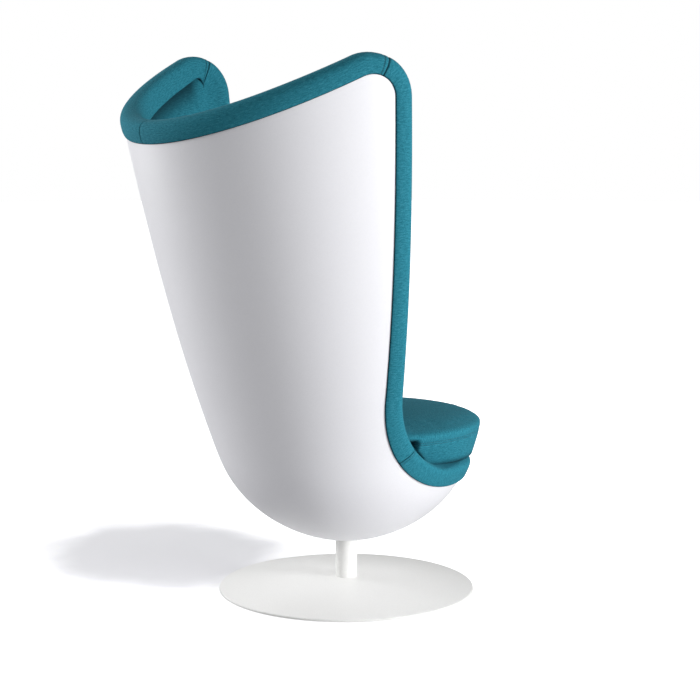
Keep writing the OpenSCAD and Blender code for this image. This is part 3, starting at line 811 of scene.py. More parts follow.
@dataclass(frozen=True)
class RollSection:
    """The padded roll's section, with its groove over the bucket's edge and the back pad's."""

    depth: float = 0.046
    middle: float = 0.020
    low: float = 0.030
    wall: float = 0.006
    pad_face: float = -0.0363
    gap: float = 0.0003
    grip: float = 0.018
    drop: float = 0.010
    # Tables of a place on the edge and its value: millimetres, powers, millimetres, shares.
    heights: tuple = ((0, 48.5), (0.8, 48.5), (1.3, 42.5), (2, 44.5), (2.9, 44.5), (3.4, 50), (4, 47), (5, 47))
    powers: tuple = ((3, 2.6), (4, 4.0))
    prouds: tuple = ((4, 6.0), (4.6, 9.0))
    presses: tuple = ((3.8, 0.0), (4.0, 1.0))
    lip_top: float = 0.3235
    under_r: float = 0.0030
    under_n: float = 0.0006
    middle_at: tuple[float, float] = (-0.020, 0.018)
    # The inner lip, in millimetres outside the bucket's face and beyond its edge.
    full_lip: tuple = ((-47.0, 8.0), (-47.5, -1.0), (-46.0, -7.0), (-43.0, -9.5), (-41.5, -10.0))
    thin_lip: tuple = ((-43.6, 8.0), (-39.8, -4.0), (-37.2, -16.0), (-35.9, -28.5), (-35.7, -30.0))
    thin_drop: float = 0.0295
    thin_sink: float = 0.0010
    feathered: tuple[float, float] = (1.15, 1.6)

    def read(self, table: tuple, s: np.ndarray) -> np.ndarray:
        """Reads a table of places and values at places on the edge, with its corners rounded off."""
        places, values = zip(*table)
        return np.mean([np.interp(s + d, places, values) for d in np.linspace(-0.12, 0.12, 9)], axis=0)

    def lip(self, s: float) -> np.ndarray:
        """The inner lip's points: full under the upper edge, and feathered out on to the back pad lower down."""
        full, thin = np.array(self.full_lip) * MM, np.array(self.thin_lip) * MM
        return full + (thin - full) * self.feather(s)

    def feather(self, s: float) -> float:
        """How far the inner lip is feathered out: 0 under the upper edge, 1 down the front."""
        return float(np.interp(s, self.feathered, (0, 1)))

    def face(self, s: float, count: int) -> np.ndarray:
        """The outer face from the groove's outer lip over the crown to the inner lip.

        Args:
            s: place on the edge, 0 to 5.
            count: how many points.

        Returns:
            Pairs of distance outside the bucket's face and distance beyond its edge.
        """
        at = np.array([s])
        top = float(self.read(self.heights, at)[0]) * MM
        power = float(self.read(self.powers, at)[0])
        proud = float(self.read(self.prouds, at)[0]) * MM
        start = -math.asin(((self.middle - self.gap) / self.low) ** (power / 2))
        first = start + np.array([0.0, 0.02, 0.045, 0.08])
        a = np.concatenate([first, np.linspace(first[-1] + 0.05, math.pi, count - len(first))])
        c, d = np.cos(a), np.sin(a)
        across = np.sign(c) * np.abs(c) ** (2 / power)
        up = np.sign(d) * np.abs(d) ** (2 / power)
        n = (proud - self.depth + (proud + self.depth) * across) / 2
        t = self.middle + np.where(a < 0, self.low, top - self.middle) * up
        rise = np.clip((t - t[0]) / self.under_r, 0, 1)
        n = np.where(a < 0, self.under_n + (n - self.under_n) * np.sqrt(1 - (1 - rise) ** 2), n)
        return np.stack([n, t], -1)


@dataclass
class EdgeRoll:
    """One stretch of the padded roll, drawn in at its sewn ends."""

    name: str
    node: str
    edge: EdgeLine
    first: float
    last: float
    topstitched: tuple[bool, bool] = (False, False)
    lengthwise: bool = False  # the cloth's threads run along the roll, and otherwise across it
    section: RollSection = RollSection()
    step: float = 0.006
    points: int = 48
    seam_depth: float = 0.0020
    seam_reach: float = 0.0013
    stitch_off: float = 0.0062
    stitch_depth: float = 0.0009
    stitch_reach: float = 0.0010
    puckers: int = 7
    pucker_depth: float = 0.0004
    pucker_reach: float = 0.010
    seam_rows_mm: tuple = (0.4, 0.8, 1.2, 1.7, 2.3, 3.0, 3.7, 4.5, 5.2, 5.7, 6.2, 6.7, 7.2, 8.0, 9.5, 13.0)
    under_shade: tuple = (1.0, 1.0, 1.0, 0.5)  # painted shade in the fold under the roll's outer edge, point by point
    # Painted shade where the inner lip ends on the back pad.
    lip_shade: float = 0.7

    def drawn_in(self, from_seam: float, stitched: bool) -> tuple[float, float]:
        """How far the seam and its line of stitches draw the cloth in, and how much painted shade they get.

        Args:
            from_seam: distance from the nearer sewn end.
            stitched: whether a line of stitches runs beside that end.

        Returns:
            Metres inward, and the strength of the painted shade there, from 0 to 1.
        """
        seam = math.exp(-((from_seam / self.seam_reach) ** 2))
        line = math.exp(-(((from_seam - self.stitch_off) / self.stitch_reach) ** 2)) if stitched else 0.0
        return self.seam_depth * seam + self.stitch_depth * line, min(1.0, seam + 0.6 * line)

    def ring(self, u: float, from_seam: float, stitched: bool) -> np.ndarray:
        """The section's points at one place, drawn in at the seam with small puckers beside it.

        Args:
            u: place on the loop.
            from_seam: distance from the nearer sewn end.
            stitched: whether a line of stitches runs beside that end.

        Returns:
            Points round the section.
        """
        sec = self.section
        s = float(from_back(u))
        face = sec.face(s, self.points)
        gradient = np.gradient(face, axis=0)
        out = np.stack([gradient[:, 1], -gradient[:, 0]], -1)
        out /= np.maximum(np.linalg.norm(out, axis=1), 1e-9)[:, None]
        flip = np.sign(np.sum(out * (face - sec.middle_at), axis=1))
        groove_in, _ = self.drawn_in(from_seam, stitched)
        fold = np.arange(len(face)) * 2 * math.pi * self.puckers / len(face)
        pucker = (
            self.pucker_depth
            * math.exp(-from_seam / self.pucker_reach)
            * (1 + 0.6 * np.sin(fold + 1.3) + 0.4 * np.sin(1.7 * fold))
        )
        face = face - (groove_in + pucker[:, None]) * out * flip[:, None]
        lip = sec.lip(s) + [groove_in, 0]
        gap, inner, grip = sec.gap, -sec.wall - sec.gap, sec.grip + sec.gap
        lining = sec.pad_face - gap
        drop = sec.drop + (sec.thin_drop - sec.drop) * sec.feather(s)
        groove = [
            [lining + sec.thin_sink * sec.feather(s), -drop],
            [lining, gap],
            [inner, gap],
            [inner, grip],
            [gap, grip],
            [gap, gap],
        ]
        ring = np.concatenate([face, lip, np.array(groove)])
        made = self.edge.off(np.full(len(ring), u), ring[:, 1], ring[:, 0])
        press = float(sec.read(sec.presses, np.array([s]))[0])
        over = np.maximum(0, made[: self.points, 2] - sec.lip_top)
        made[: self.points, 2] -= press * over
        return made

    def build(self, wardrobe: Wardrobe) -> bpy.types.Object:
        """Builds, dresses and places the roll.

        Args:
            wardrobe: the finishes.

        Returns:
            The roll.
        """
        _, along = self.edge.spaced(self.first, self.last, self.step)
        length = along[-1]
        extra = np.array(self.seam_rows_mm) * MM
        along = np.unique(np.concatenate([along, extra, length - extra]))
        places = np.interp(along, *self.reading(length))
        near_end = np.minimum(along, length - along)
        stitched = [self.topstitched[int(a > length / 2)] for a in along]
        rings = np.array([self.ring(u, d, on) for u, d, on in zip(places, near_end, stitched)])
        rows, cols = rings.shape[:2]
        # Painted shade in the cloth: the seams and stitch lines, the fold under the outer edge, the inner lip's end
        # and the hidden groove.
        painted_shade = np.zeros((rows, cols))
        painted_shade[:] = [[self.drawn_in(d, on)[1]] for d, on in zip(near_end, stitched)]
        painted_shade[:, : len(self.under_shade)] = np.maximum(painted_shade[:, : len(self.under_shade)], self.under_shade)
        open_lip = np.array([1 - self.section.feather(v) for v in from_back(places)])
        lip_end = self.points + len(self.section.full_lip) - 1
        painted_shade[:, lip_end - 1] = np.maximum(painted_shade[:, lip_end - 1], self.lip_shade * open_lip)
        painted_shade[:, lip_end] = np.maximum(painted_shade[:, lip_end], open_lip)
        painted_shade[:, lip_end + 1 :] = 1.0
        painted_shade[:, lip_end + 1] = open_lip
        weave = np.stack([distances(rings, 1), np.repeat(along[:, None], cols, 1)], -1)
        if self.lengthwise:
            weave = weave[..., ::-1]
        faces = grid_faces(rows, cols, True) + end_faces(rows, cols)
        roll = mesh_piece(self.name, rings.reshape(-1, 3), faces, weave.reshape(-1, 2), painted_shade)
        wardrobe.upholster(roll, self.node, Body.SEAT)
        lines = []
        for on, where in zip(self.topstitched, (self.stitch_off, length - self.stitch_off)):
            if on:
                line = rings[np.abs(along - where).argmin()][1 : self.points]
                lines.append((line, line - line.mean(axis=0)))
        if lines:
            StitchLine().sew(self.name + "_stitches", lines, Body.SEAT, wardrobe)
        return roll

    def reading(self, length: float) -> tuple[np.ndarray, np.ndarray]:
        """Distances along the stretch and their places, for interpolation."""
        places, along = self.edge.spaced(self.first, self.last, 0.002)
        return along * length / along[-1], places


@dataclass
class BackPad:
    """The padded lining inside the bucket."""

    edge: EdgeLine
    wall: float = 0.0063
    thick: float = 0.0297
    end: float = 3 + 4 / 7
    step: float = 0.012
    rows: int = 100
    first_row: float = 1 / 8  # share of the way from the bucket's belt to its edge
    hollow: float = 0.010
    hollow_rows: tuple[float, float] = (0.88, 0.98)
    hollow_places: tuple[float, float] = (1.35, 1.0)

    def sheet(self, n: float) -> tuple[np.ndarray, np.ndarray]:
        """Rows of points from the pad's foot to the bucket's edge.

        Args:
            n: distance outside the bucket's face.

        Returns:
            Rows by columns by 3 array, and the columns' places.
        """
        form = self.edge.form
        u, _ = self.edge.spaced(-self.end, self.end, self.step)
        foot, phi, h = self.edge.columns(u)
        belt = self.edge.belt_share * form.bowl_h
        shares = np.linspace(self.first_row, 1, self.rows)
        return np.array([form.point(foot + (phi - foot) * w, belt + (h - belt) * w, n) for w in shares]), u

    def build(self, wardrobe: Wardrobe) -> bpy.types.Object:
        """Builds, dresses and places the pad.

        Args:
            wardrobe: the finishes.

        Returns:
            The pad.
        """
        front, places = self.sheet(-self.wall - self.thick)
        deep, _ = self.sheet(-self.wall - self.thick + self.hollow)
        back, _ = self.sheet(-self.wall)
        begin, full = self.hollow_rows
        up_the_back = smooth((np.linspace(self.first_row, 1, self.rows) - begin) / (full - begin))
        outer, inner = self.hollow_places
        share = up_the_back[:, None] * smooth((outer - np.abs(places)) / (outer - inner))[None, :]
        front = front + (deep - front) * share[..., None]
        rows, cols = front.shape[:2]
        size = rows * cols
        faces = grid_faces(rows, cols, False) + grid_faces(rows, cols, False, size)
        number = np.arange(size).reshape(rows, cols)
        loop = np.concatenate([number[0], number[1:, -1], number[-1, -2::-1], number[-2:0:-1, 0]])
        faces += wall_faces(loop.tolist(), size)
        across = distances(front, 1)
        across -= across[:, cols // 2][:, None]
        weave = np.stack([across, distances(front)], -1).reshape(-1, 2)
        points = np.concatenate([front.reshape(-1, 3), back.reshape(-1, 3)])
        # The lining is given painted shade under the hood's lip, as strong as the square of its hollow there.
        pad = mesh_piece("back_lining", points, faces, np.tile(weave, (2, 1)), np.tile(share**2, (2, 1)))
        return wardrobe.upholster(pad, "back_pad", Body.SEAT)


@dataclass
class DeckPad:
    """The thin covered pad on the seat board, under the cushion."""

    low: float = 0.3115
    thick: float = 0.0125
    radius: float = 0.2258
    round_r: float = 0.0045
    centre_r: float = 0.004  # of the small flat faces in the middle
    sides: int = 160

    def build(self, wardrobe: Wardrobe) -> bpy.types.Object:
        """Builds, dresses and places the pad.

        Args:
            wardrobe: the finishes.

        Returns:
            The pad.
        """
        curve, flat_r = self.round_r, self.radius - self.round_r
        level = np.linspace(self.centre_r, flat_r, 14)
        middle, half = self.low + self.thick / 2, self.thick / 2 - curve
        profile = [(r, self.low) for r in level[:-1]]
        for x in np.linspace(-math.pi / 2, math.pi / 2, 13):
            if abs(x) > 1e-6:
                profile.append((flat_r + curve * math.cos(x), middle + math.copysign(half, x) + curve * math.sin(x)))
        profile += [(r, self.low + self.thick) for r in level[-2::-1]]
        turn = full_turn(self.sides)
        points = np.array([[(r * math.cos(t), r * math.sin(t), z) for t in turn] for r, z in profile])
        rows, cols = points.shape[:2]
        flat = points.reshape(-1, 3)
        pad = mesh_piece("seat_deck_pad", flat, grid_faces(rows, cols, True) + end_faces(rows, cols), flat[:, :2])
        return wardrobe.upholster(pad, "deck_pad", Body.SEAT)


@dataclass
class ClothFilling:
    """Swells a closed cushion as cloth over its filling, by simulation."""

    shrink: float = 0.0015
    cell: float = 0.008
    pressure: float = 4.0
    frames: int = 20
    held_h: float = 0.010
    seam_h: float = 0.0565
    seam_hold: float = 0.009
    cap: float = 0.005

    def swell(self, points: np.ndarray, faces: list[tuple[int, ...]]) -> np.ndarray:
        """Shrinks the cushion a little and lets it swell out again.

        Args:
            points: n by 3 array of the cushion's points.
            faces: point numbers of each face.

        Returns:
            The points, moved with the simulated cloth.
        """
        middle = points.mean(axis=0)
        half = np.abs(points - middle).max(axis=0)
        start = middle + (points - middle) * (1 - self.shrink / half)
        start[:, 2] += points[:, 2].min() - start[:, 2].min()
        body = mesh_piece("cushion_filling", start, faces)
        cells = body.modifiers.new("cells", "REMESH")
        cells.mode = "VOXEL"
        cells.voxel_size = self.cell
        self.apply(body)
        rest = self.places(body)
        held = body.vertex_groups.new(name="held")
        height = rest[:, 2] - points[:, 2].min()
        sewn = (height < self.held_h) | (np.abs(height - self.seam_h) < self.seam_hold)
        held.add([int(i) for i in np.flatnonzero(sewn)], 1.0, "REPLACE")
        cloth = body.modifiers.new("cloth", "CLOTH").settings
        cloth.vertex_group_mass = "held"
        cloth.use_pressure = True
        cloth.uniform_pressure_force = self.pressure
        cloth.effector_weights.gravity = 0
        scene = bpy.context.scene
        for frame in range(1, self.frames + 1):
            scene.frame_set(frame)
        self.apply(body)
        move = self.places(body) - rest
        scene.frame_set(1)
        length = np.linalg.norm(move, axis=1)
        move *= (np.minimum(length, self.cap) / np.maximum(length, 1e-9))[:, None]
        tree = BVHTree.FromPolygons([Vector(p) for p in rest], [tuple(f.vertices) for f in body.data.polygons])
        swollen = start.copy()
        for k, point in enumerate(start):
            near, _, face, _ = tree.find_nearest(Vector(point))
            corners = list(body.data.polygons[face].vertices)
            shares = poly_3d_calc([Vector(rest[c]) for c in corners], near)
            swollen[k] += np.array(shares) @ move[corners]
        bpy.data.objects.remove(body)
        return swollen

    def apply(self, body: bpy.types.Object) -> None:
        """Applies the object's modifiers.

        Args:
            body: the object.
        """
        made = bpy.data.meshes.new_from_object(body.evaluated_get(bpy.context.evaluated_depsgraph_get()))
        body.modifiers.clear()
        body.data = made

    def places(self, body: bpy.types.Object) -> np.ndarray:
        """The object's points.

        Args:
            body: the object.

        Returns:
            n by 3 array of metres.
        """
        flat = np.empty(len(body.data.vertices) * 3)
        body.data.vertices.foreach_get("co", flat)
        return flat.reshape(-1, 3)


@dataclass
class SeatCushion:
    """The loose round cushion: crowned, with drawn-in sides and a twin-stitched seam under its edge."""

    low: float = 0.3273
    front_r: float = 0.268
    front_y: float = 0.055
    back_r: float = 0.256
    back_y: float = 0.020
    side_h: float = 0.0725
    crown: float = 0.032
    crown_power: float = 2.15
    draw: float = 0.017
    draw_power: float = 1.5
    tuck: float = 0.018
    tuck_power: int = 8
    low_r: float = 0.005
    crown_turn: float = math.radians(84)
    notch: float = 0.034
    notch_top: float = 0.072
    notch_ramp: float = 0.016
    # Heights, each with the sine of the turn at which the notch begins there.
    notch_start: tuple = ((0.010, -0.13), (0.029, -0.055), (0.040, -0.01), (0.060, -0.01))
    notch_run: float = 0.05
    sag: float = 0.0035
    sag_from: float = 0.228
    sag_run: float = 0.012
    sag_h: float = 0.030
    # Height over which the underside's edge gets painted shade.
    under_h: float = 0.008
    seam_h: float = 0.0565
    seam_rows: float = 0.007
    seam_depth: float = 0.0005
    stitch_depth: float = 0.0012
    stitch_gap: float = 0.0028
    pucker_depth: float = 0.0001
    pucker_reach: float = 0.011
    join_width: float = 0.0010
    stitch_width: float = 0.0008
    # Painted shade on the seam, on its two stitch lines and, near black, in the notch.
    join_shade: float = 0.15
    stitch_shade: float = 0.45
    hollow_shade: float = 1.0
    unevenness: float = 0.4
    sides: int = 480
    filling: ClothFilling = field(default_factory=ClothFilling)

    def profile(self) -> np.ndarray:
        """The cushion's rings.

        Returns:
            Rows of inset from the widest outline, height above the underside, and share of the tuck.
        """
        rows = []
        for a in np.linspace(0, math.pi / 2, 9):
            rows.append((self.draw + self.low_r * (1 - math.sin(a)), self.low_r * (1 - math.cos(a)), 1.0))
        near_seam = self.seam_h + np.linspace(-self.seam_rows, self.seam_rows, 21)
        heights = np.unique(np.concatenate([np.linspace(self.low_r, self.side_h, 26)[1:], near_seam]))
        for h in heights[heights <= self.side_h]:
            w = (h - self.low_r) / (self.side_h - self.low_r)
            rows.append((self.draw * (1 - w) ** self.draw_power, h, (1 - w) ** self.draw_power))
        power = 2 / self.crown_power
        for a in np.linspace(0, self.crown_turn, 46)[1:]:
            rise = self.crown * math.sin(a) ** power
            rows.append((self.front_r * (1 - math.cos(a) ** power), self.side_h + rise, 0.0))
        return np.array(rows)

    def hollow(self, rows: np.ndarray, sides: int) -> np.ndarray:
        """Where the side gives way to the back pad's foot, behind the front rolls.

        Args:
            rows: the profile's rows.
            sides: how many points round.

        Returns:
            Shares of the notch, 0 to 1, for rings by sides.
        """
        start = np.interp(rows[:, 1:2], *zip(*self.notch_start))
        rear = smooth((np.sin(full_turn(sides)[None, :]) - start) / self.notch_run)
        return rear * smooth((self.notch_top - rows[:, 1:2]) / self.notch_ramp)

    def rings(self, rows: np.ndarray, sides: int) -> np.ndarray:
        """Points of the rings.

        Args:
            rows: the profile's rows.
            sides: how many points round.

        Returns:
            Rings by sides by 3 array.
        """
        a = full_turn(sides)[None, :]
        w = ((1 + np.sin(a)) / 2) ** 2
        inward = rows[:, 0:1] + rows[:, 2:3] * self.tuck * np.cos(a) ** self.tuck_power
        inward = inward + self.notch * self.hollow(rows, sides)
        share = 1 - inward / self.front_r
        r = share * (self.front_r + (self.back_r - self.front_r) * w)
        y = -self.front_y + (self.back_y + self.front_y) * w * share + r * np.sin(a)
        out = np.clip((np.hypot(r * np.cos(a), y) - self.sag_from) / self.sag_run, 0, 1)
        drop = self.sag * out * np.clip(1 - rows[:, 1:2] / self.sag_h, 0, 1)
        return np.stack([r * np.cos(a), y, self.low + rows[:, 1:2] - drop], -1)

    def build(self, wardrobe: Wardrobe) -> bpy.types.Object:
        """Builds, dresses and places the cushion.

        Args:
            wardrobe: the finishes.

        Returns:
            The cushion.
        """
        profile = self.profile()
        grid = self.rings(profile, self.sides)
        rows, cols = grid.shape[:2]
        ends = [[0, -self.front_y, self.low], [0, -self.front_y, self.low + self.side_h + self.crown]]
        low, top, last = rows * cols, rows * cols + 1, (rows - 1) * cols
        faces = grid_faces(rows, cols, True)
        faces += [(low, (i + 1) % cols, i) for i in range(cols)]
        faces += [(top, last + i, last + (i + 1) % cols) for i in range(cols)]
        flat = np.concatenate([grid.reshape(-1, 3), ends])
        move = (self.filling.swell(flat, faces) - flat)[:low].reshape(rows, cols, 3)
        spoke = self.spokes(grid)
        outward, rise = np.sum(move * spoke, axis=2, keepdims=True), move[..., 2:]
        outward, rise = (part - part.mean(axis=1, keepdims=True) for part in (outward, rise))
        move = outward * spoke + rise * [0, 0, 1]
        flat[:low] += self.unevenness * move.reshape(-1, 3)
        flat[:low] -= self.seam_grooves(profile, flat[:low].reshape(rows, cols, 3)).reshape(-1, 3)
        join, stitched = self.seam_lines(profile[:, 1] - self.seam_h)
        # Painted shade: the underside's edge, the seam and its stitch lines on the side, and the notch.
        under = np.exp(-((profile[:, 1] / self.under_h) ** 2))
        sewn_shade = self.join_shade * join + self.stitch_shade * stitched
        shade = np.clip(np.where(profile[:, 1] > self.side_h, 0, sewn_shade) + under, 0, 1)
        shade = np.maximum(shade[:, None], self.hollow_shade * self.hollow(profile, cols))
        painted_shade = np.append(shade.ravel(), [1.0, 0.0])
        cushion = mesh_piece("round_seat_cushion", flat, faces, painted_shade=painted_shade)
        self.lay_cloth(cushion, grid)
        wardrobe.upholster(cushion, "seat_cushion", Body.CUSHION)
        sewn = flat[:low].reshape(rows, cols, 3)
        lines = []
        for h in (self.seam_h - self.stitch_gap, self.seam_h + self.stitch_gap):
            line = sewn[np.abs(profile[:, 1] - h).argmin()]
            line = np.concatenate([line, line[:1]])
            lines.append((line, (line - [0, -self.front_y, 0]) * [1, 1, 0]))
        StitchLine().sew("seat_cushion_stitches", lines, Body.CUSHION, wardrobe)
        return cushion

    def seam_lines(self, drop: np.ndarray) -> tuple[np.ndarray, np.ndarray]:
        """Strength, 0 to 1, of the seam and of its two lines of stitches at heights above it."""
        join = np.exp(-((drop / self.join_width) ** 2))
        return join, np.exp(-(((np.abs(drop) - self.stitch_gap) / self.stitch_width) ** 2))

    def seam_grooves(self, profile: np.ndarray, grid: np.ndarray) -> np.ndarray:
        """How far the twin-stitched seam and its puckers draw the cloth in.

        Args:
            profile: the profile's rows.
            grid: rings by sides by 3 array of points.

        Returns:
            Inward moves for the points.
        """
        drop = (profile[:, 1] - self.seam_h)[:, None]
        turn = full_turn(grid.shape[1])[None, :]
        join, stitched = self.seam_lines(drop)
        waves = 1 + 0.5 * np.sin(61 * turn) + 0.5 * np.sin(43 * turn + 1.9)
        drawn = self.pucker_depth * waves * np.exp(-((drop / self.pucker_reach) ** 2))
        move = self.seam_depth * join + self.stitch_depth * stitched + drawn
        move = np.where(profile[:, 1:2] > self.side_h + 1e-9, 0, move)
        return move[..., None] * self.spokes(grid)

    def spokes(self, grid: np.ndarray) -> np.ndarray:
        """Level unit vectors from the cushion's middle out to its points."""
        spoke = (grid - [0, -self.front_y, 0]) * [1, 1, 0]
        return spoke / np.linalg.norm(spoke, axis=-1)[..., None]

    def lay_cloth(self, cushion: bpy.types.Object, grid: np.ndarray) -> None:
        """Lays the weave flat on the top and underside, and round the side.

        Args:
            cushion: the cushion's object.
            grid: rings by sides by 3 array of the cushion's points.
        """
        mesh = cushion.data
        rows, cols = grid.shape[:2]
        steps = np.linalg.norm(np.diff(grid, axis=0), axis=2).mean(axis=1)
        reach = np.concatenate([np.cumsum(steps[::-1])[::-1], [0]]) + grid[-1, :, 0].max()
        turn = full_turn(cols)
        layer = mesh.uv_layers.new(name="weave")
        for face in mesh.polygons:
            z = face.center.z - self.low
            for corner in face.loop_indices:
                number = mesh.loops[corner].vertex_index
                x, y, height = mesh.vertices[number].co
                if z < self.low_r or number >= rows * cols:
                    layer.data[corner].uv = (x, y + self.front_y)
                    continue
                row, col = divmod(number, cols)
                around = turn[col] + (2 * math.pi if col == 0 and face.center.y < y else 0)
                if z < self.seam_h:
                    layer.data[corner].uv = (around * self.front_r, height)
                else:
                    layer.data[corner].uv = (reach[row] * math.cos(turn[col]), reach[row] * math.sin(turn[col]))


@dataclass
class Hardware:
    """The CAD pieces that are shown as they are, in better finishes."""

    nodes: dict[Slot, str]

    def build(self, frame: dict, wardrobe: Wardrobe) -> None:
        """Dresses each CAD node.

        Args:
            frame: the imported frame.
            wardrobe: the finishes.
        """
        for slot, names in self.nodes.items():
            for name in names.split():
                wardrobe.dress(frame["nodes"][name], slot)
                LOG.info("dressed %s as %s", name, slot.value)


@dataclass
class Studio:
    """Camera, lights, floor and backdrop."""

    eye: tuple[float, float, float] = (-3.7532, 2.2016, 1.1840)
    ahead: tuple[float, float, float] = (0.85307, -0.50271, -0.13982)
    right: tuple[float, float, float] = (-0.50770, -0.86153, 0.0)
    lens_mm: float = 97.03
    target: tuple[float, float, float] = (0.0, 0.1, 0.65)
    floor_r: float = 15.0
    floor_bounce: str = "#A8A8AA"
    # The floor's colour to the camera, darker than white for the painted shadow; outside it the glow makes the floor
    # white.
    floor_seen: str = "#EAEAED"
    # The painted shadow: the soft oval's middle, turn and size, and the span of its soft edge.
    shadow_at: tuple[float, float, float] = (0.53, 0.23, 0.0)
    shadow_turn: float = math.radians(-8)
    shadow_size: tuple[float, float, float] = (0.52, 0.45, 1.0)
    shadow_blur: tuple[float, float] = (0.6, 1.25)
    # Heights in the surround's Generated coordinate, each with the light that comes from there.
    surround: tuple = ((0.3, 0.03), (0.38, 0.97), (0.73, 0.97), (0.81, 0.0))
    # Each softbox: metres to the camera's right, towards the camera and above the floor, its side, and watts.
    softboxes: tuple = (
        ("low_key_softbox", 2.9, 1.6, 0.7, 1.2, 93),
        ("rim_softbox", -3.0, -1.2, 1.2, 1.6, 55),
        ("left_softbox", -2.8, -0.6, 1.9, 1.4, 14),
        ("back_fill", -0.8, -3.0, 1.5, 1.6, 7),
        ("low_fill", 0.5, 3.0, 0.5, 1.2, 8),
    )

    def add_camera(self) -> None:
        """Places the camera at the photograph's angle."""
        data = bpy.data.cameras.new("camera")
        data.sensor_width = 36.0
        data.lens = self.lens_mm
        data.clip_start, data.clip_end = 0.05, 60
        camera = bpy.data.objects.new("camera", data)
        bpy.context.scene.collection.objects.link(camera)
        ahead = Vector(self.ahead).normalized()
        right = Vector(self.right).normalized()
        up = right.cross(ahead)
        turn = Matrix((right, up, -ahead)).transposed()
        camera.matrix_world = Matrix.Translation(Vector(self.eye)) @ turn.to_4x4()
        bpy.context.scene.camera = camera

    def add_light(self, name: str, sideways: float, towards: float, up: float, size: float, power: float) -> None:
        """Adds a square softbox that faces the chair.

        Args:
            name: the light's name.
            sideways: metres to the camera's right of the chair.
            towards: metres from the chair towards the camera.
            up: height above the floor.
            size: the softbox's side.
            power: watts.
        """
        data = bpy.data.lights.new(name, "AREA")
        data.size = size
        data.energy = power
        light = bpy.data.objects.new(name, data)
        bpy.context.scene.collection.objects.link(light)
        right = Vector((self.right[0], self.right[1], 0)).normalized()
        back = Vector((-self.ahead[0], -self.ahead[1], 0)).normalized()
        light.location = Vector((0, 0.1, 0)) + right * sideways + back * towards + Vector((0, 0, up))
        light.rotation_mode = "QUATERNION"
        light.rotation_quaternion = (Vector(self.target) - light.location).to_track_quat("-Z", "Y")

    def add_floor(self) -> None:
        """Adds a wide floor that glows white to the camera outside a soft patch behind the chair; the patch is a
        painted shadow, where the floor's darker colour and its real cast shade show.
        """
        turn = full_turn(96)
        rim = np.stack([self.floor_r * np.cos(turn), self.floor_r * np.sin(turn), 0 * turn], -1)
        floor = mesh_piece("floor", rim, [tuple(range(len(rim)))])
        sheet = NodeSheet("white_floor_with_painted_shadow")
        seen = sheet.add("LightPath").outputs["Is Camera Ray"]
        tones = {6: linear(self.floor_bounce), 7: linear(self.floor_seen)}
        tone = sheet.add("Mix", {0: seen}, tones, data_type="RGBA")
        # Painted shadow: the floor glows white to the camera except in a soft, noisy oval.
        place = sheet.add("TexCoord").outputs["Object"]
        patch = sheet.add(
            "Mapping",
            {"Vector": place},
            {"Location": self.shadow_at, "Rotation": (0, 0, self.shadow_turn), "Scale": self.shadow_size},
            vector_type="TEXTURE",
        )
        cloud = sheet.add("TexNoise", {"Vector": place}, {"Scale": 5.0, "Detail": 2.0}).outputs["Fac"]
        away = sheet.add("VectorMath", {0: patch.outputs[0]}, operation="LENGTH").outputs["Value"]
        edge = sheet.add("Math", {0: cloud, 2: away}, {1: 0.3}, operation="MULTIPLY_ADD")
        near, far = self.shadow_blur
        reach = {"From Min": near, "From Max": far}
        fade = sheet.add("MapRange", {"Value": edge.outputs[0]}, reach, interpolation_type="SMOOTHSTEP")
        glow = sheet.add("Math", {0: fade.outputs[0], 1: seen}, operation="MULTIPLY")
        sheet.feed(Base_Color=tone.outputs[2], Emission_Strength=glow.outputs[0])
        sheet.fix(Roughness=0.9, Specular_IOR_Level=0.1, Emission_Color=(1, 1, 1, 1))
        floor.data.materials.append(sheet.owner)

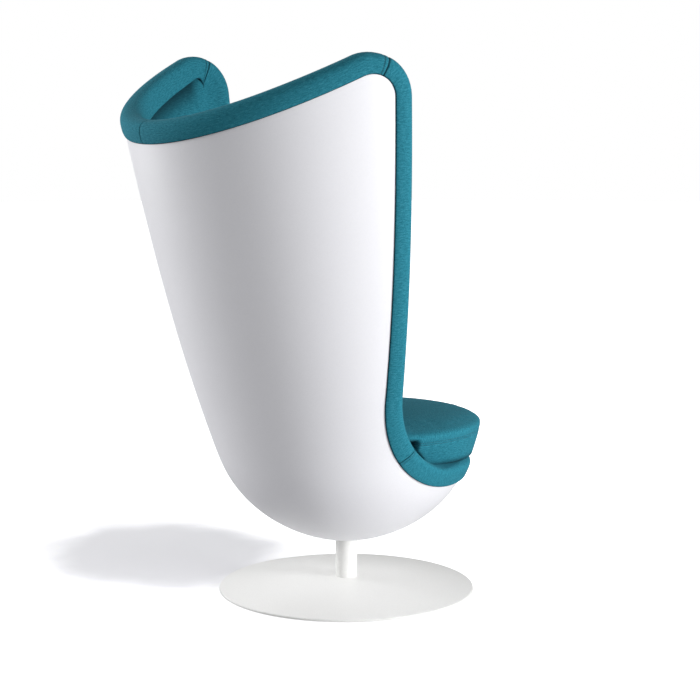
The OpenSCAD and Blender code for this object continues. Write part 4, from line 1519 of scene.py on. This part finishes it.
    def add_world(self) -> None:
        """Adds a white surround whose own light is weak."""
        sheet = NodeSheet("studio", world=True)
        seen = sheet.add("LightPath").outputs["Is Camera Ray"]
        place = sheet.add("TexCoord").outputs["Generated"]
        height = sheet.add("SeparateXYZ", {0: place}).outputs["Z"]
        band = sheet.add("ValToRGB", {"Fac": height}, stops=list(self.surround)).outputs["Color"]
        strength = sheet.add("MapRange", {"Value": seen, "To Min": band}, {"To Max": 1.0})
        sheet.feed(Strength=strength.outputs[0])
        sheet.fix(Color=(1, 1, 1, 1))
        bpy.context.scene.world = sheet.owner

    def build(self) -> None:
        """Sets up the whole studio."""
        scene = bpy.context.scene
        scene.view_settings.view_transform = "Standard"
        self.add_world()
        self.add_camera()
        self.add_floor()
        for softbox in self.softboxes:
            self.add_light(*softbox)


SHOWN_CAD: dict[Slot, str] = {
    Slot.COATED_STEEL: "base_disc column_tube",
    Slot.FELT: "floor_felt",
    Slot.PLAIN_STEEL: "ballast_plate foot_flange mounting_plate deck_posts deck_ring",
    Slot.ZINC_STEEL: "foot_nuts foot_bolts spindle retaining_washer retaining_clip "
    "plate_washers plate_bolts deck_screws",
    Slot.ACETAL: "lower_bush upper_bush thrust_washer",
    Slot.BRASS: "shell_inserts",
    Slot.PLYWOOD: "seat_board",
    Slot.HOOK_TAPE: "hook_patches loop_patches",
}

WING_SEAM = 1.42  # the seams' places on the edge
LOWER_SEAM = 3.455


def main() -> None:
    """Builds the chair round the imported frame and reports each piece."""
    logging.basicConfig(level=logging.INFO, format="%(message)s")
    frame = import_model()
    wardrobe = Wardrobe()
    edge = EdgeLine()
    Hardware(SHOWN_CAD).build(frame, wardrobe)
    parts = [
        OuterShell(edge),
        BackPad(edge),
        DeckPad(),
        EdgeRoll("rim_roll_plus_x", "rim_roll_right", edge, 0.0, WING_SEAM, (False, True), True),
        EdgeRoll("front_roll_plus_x", "front_roll_right", edge, WING_SEAM, LOWER_SEAM),
        EdgeRoll("front_lip_roll", "lip_roll", edge, LOWER_SEAM, LOOP - LOWER_SEAM, (True, True)),
        EdgeRoll("front_roll_minus_x", "front_roll_left", edge, LOOP - LOWER_SEAM, LOOP - WING_SEAM),
        EdgeRoll("rim_roll_minus_x", "rim_roll_left", edge, LOOP - WING_SEAM, LOOP, (True, False), True),
        SeatCushion(),
    ]
    for part in parts:
        piece = part.build(wardrobe)
        LOG.info("built %s: %d faces", piece.name, len(piece.data.polygons))
    Studio().build()


if __name__ == "__main__":
    main()
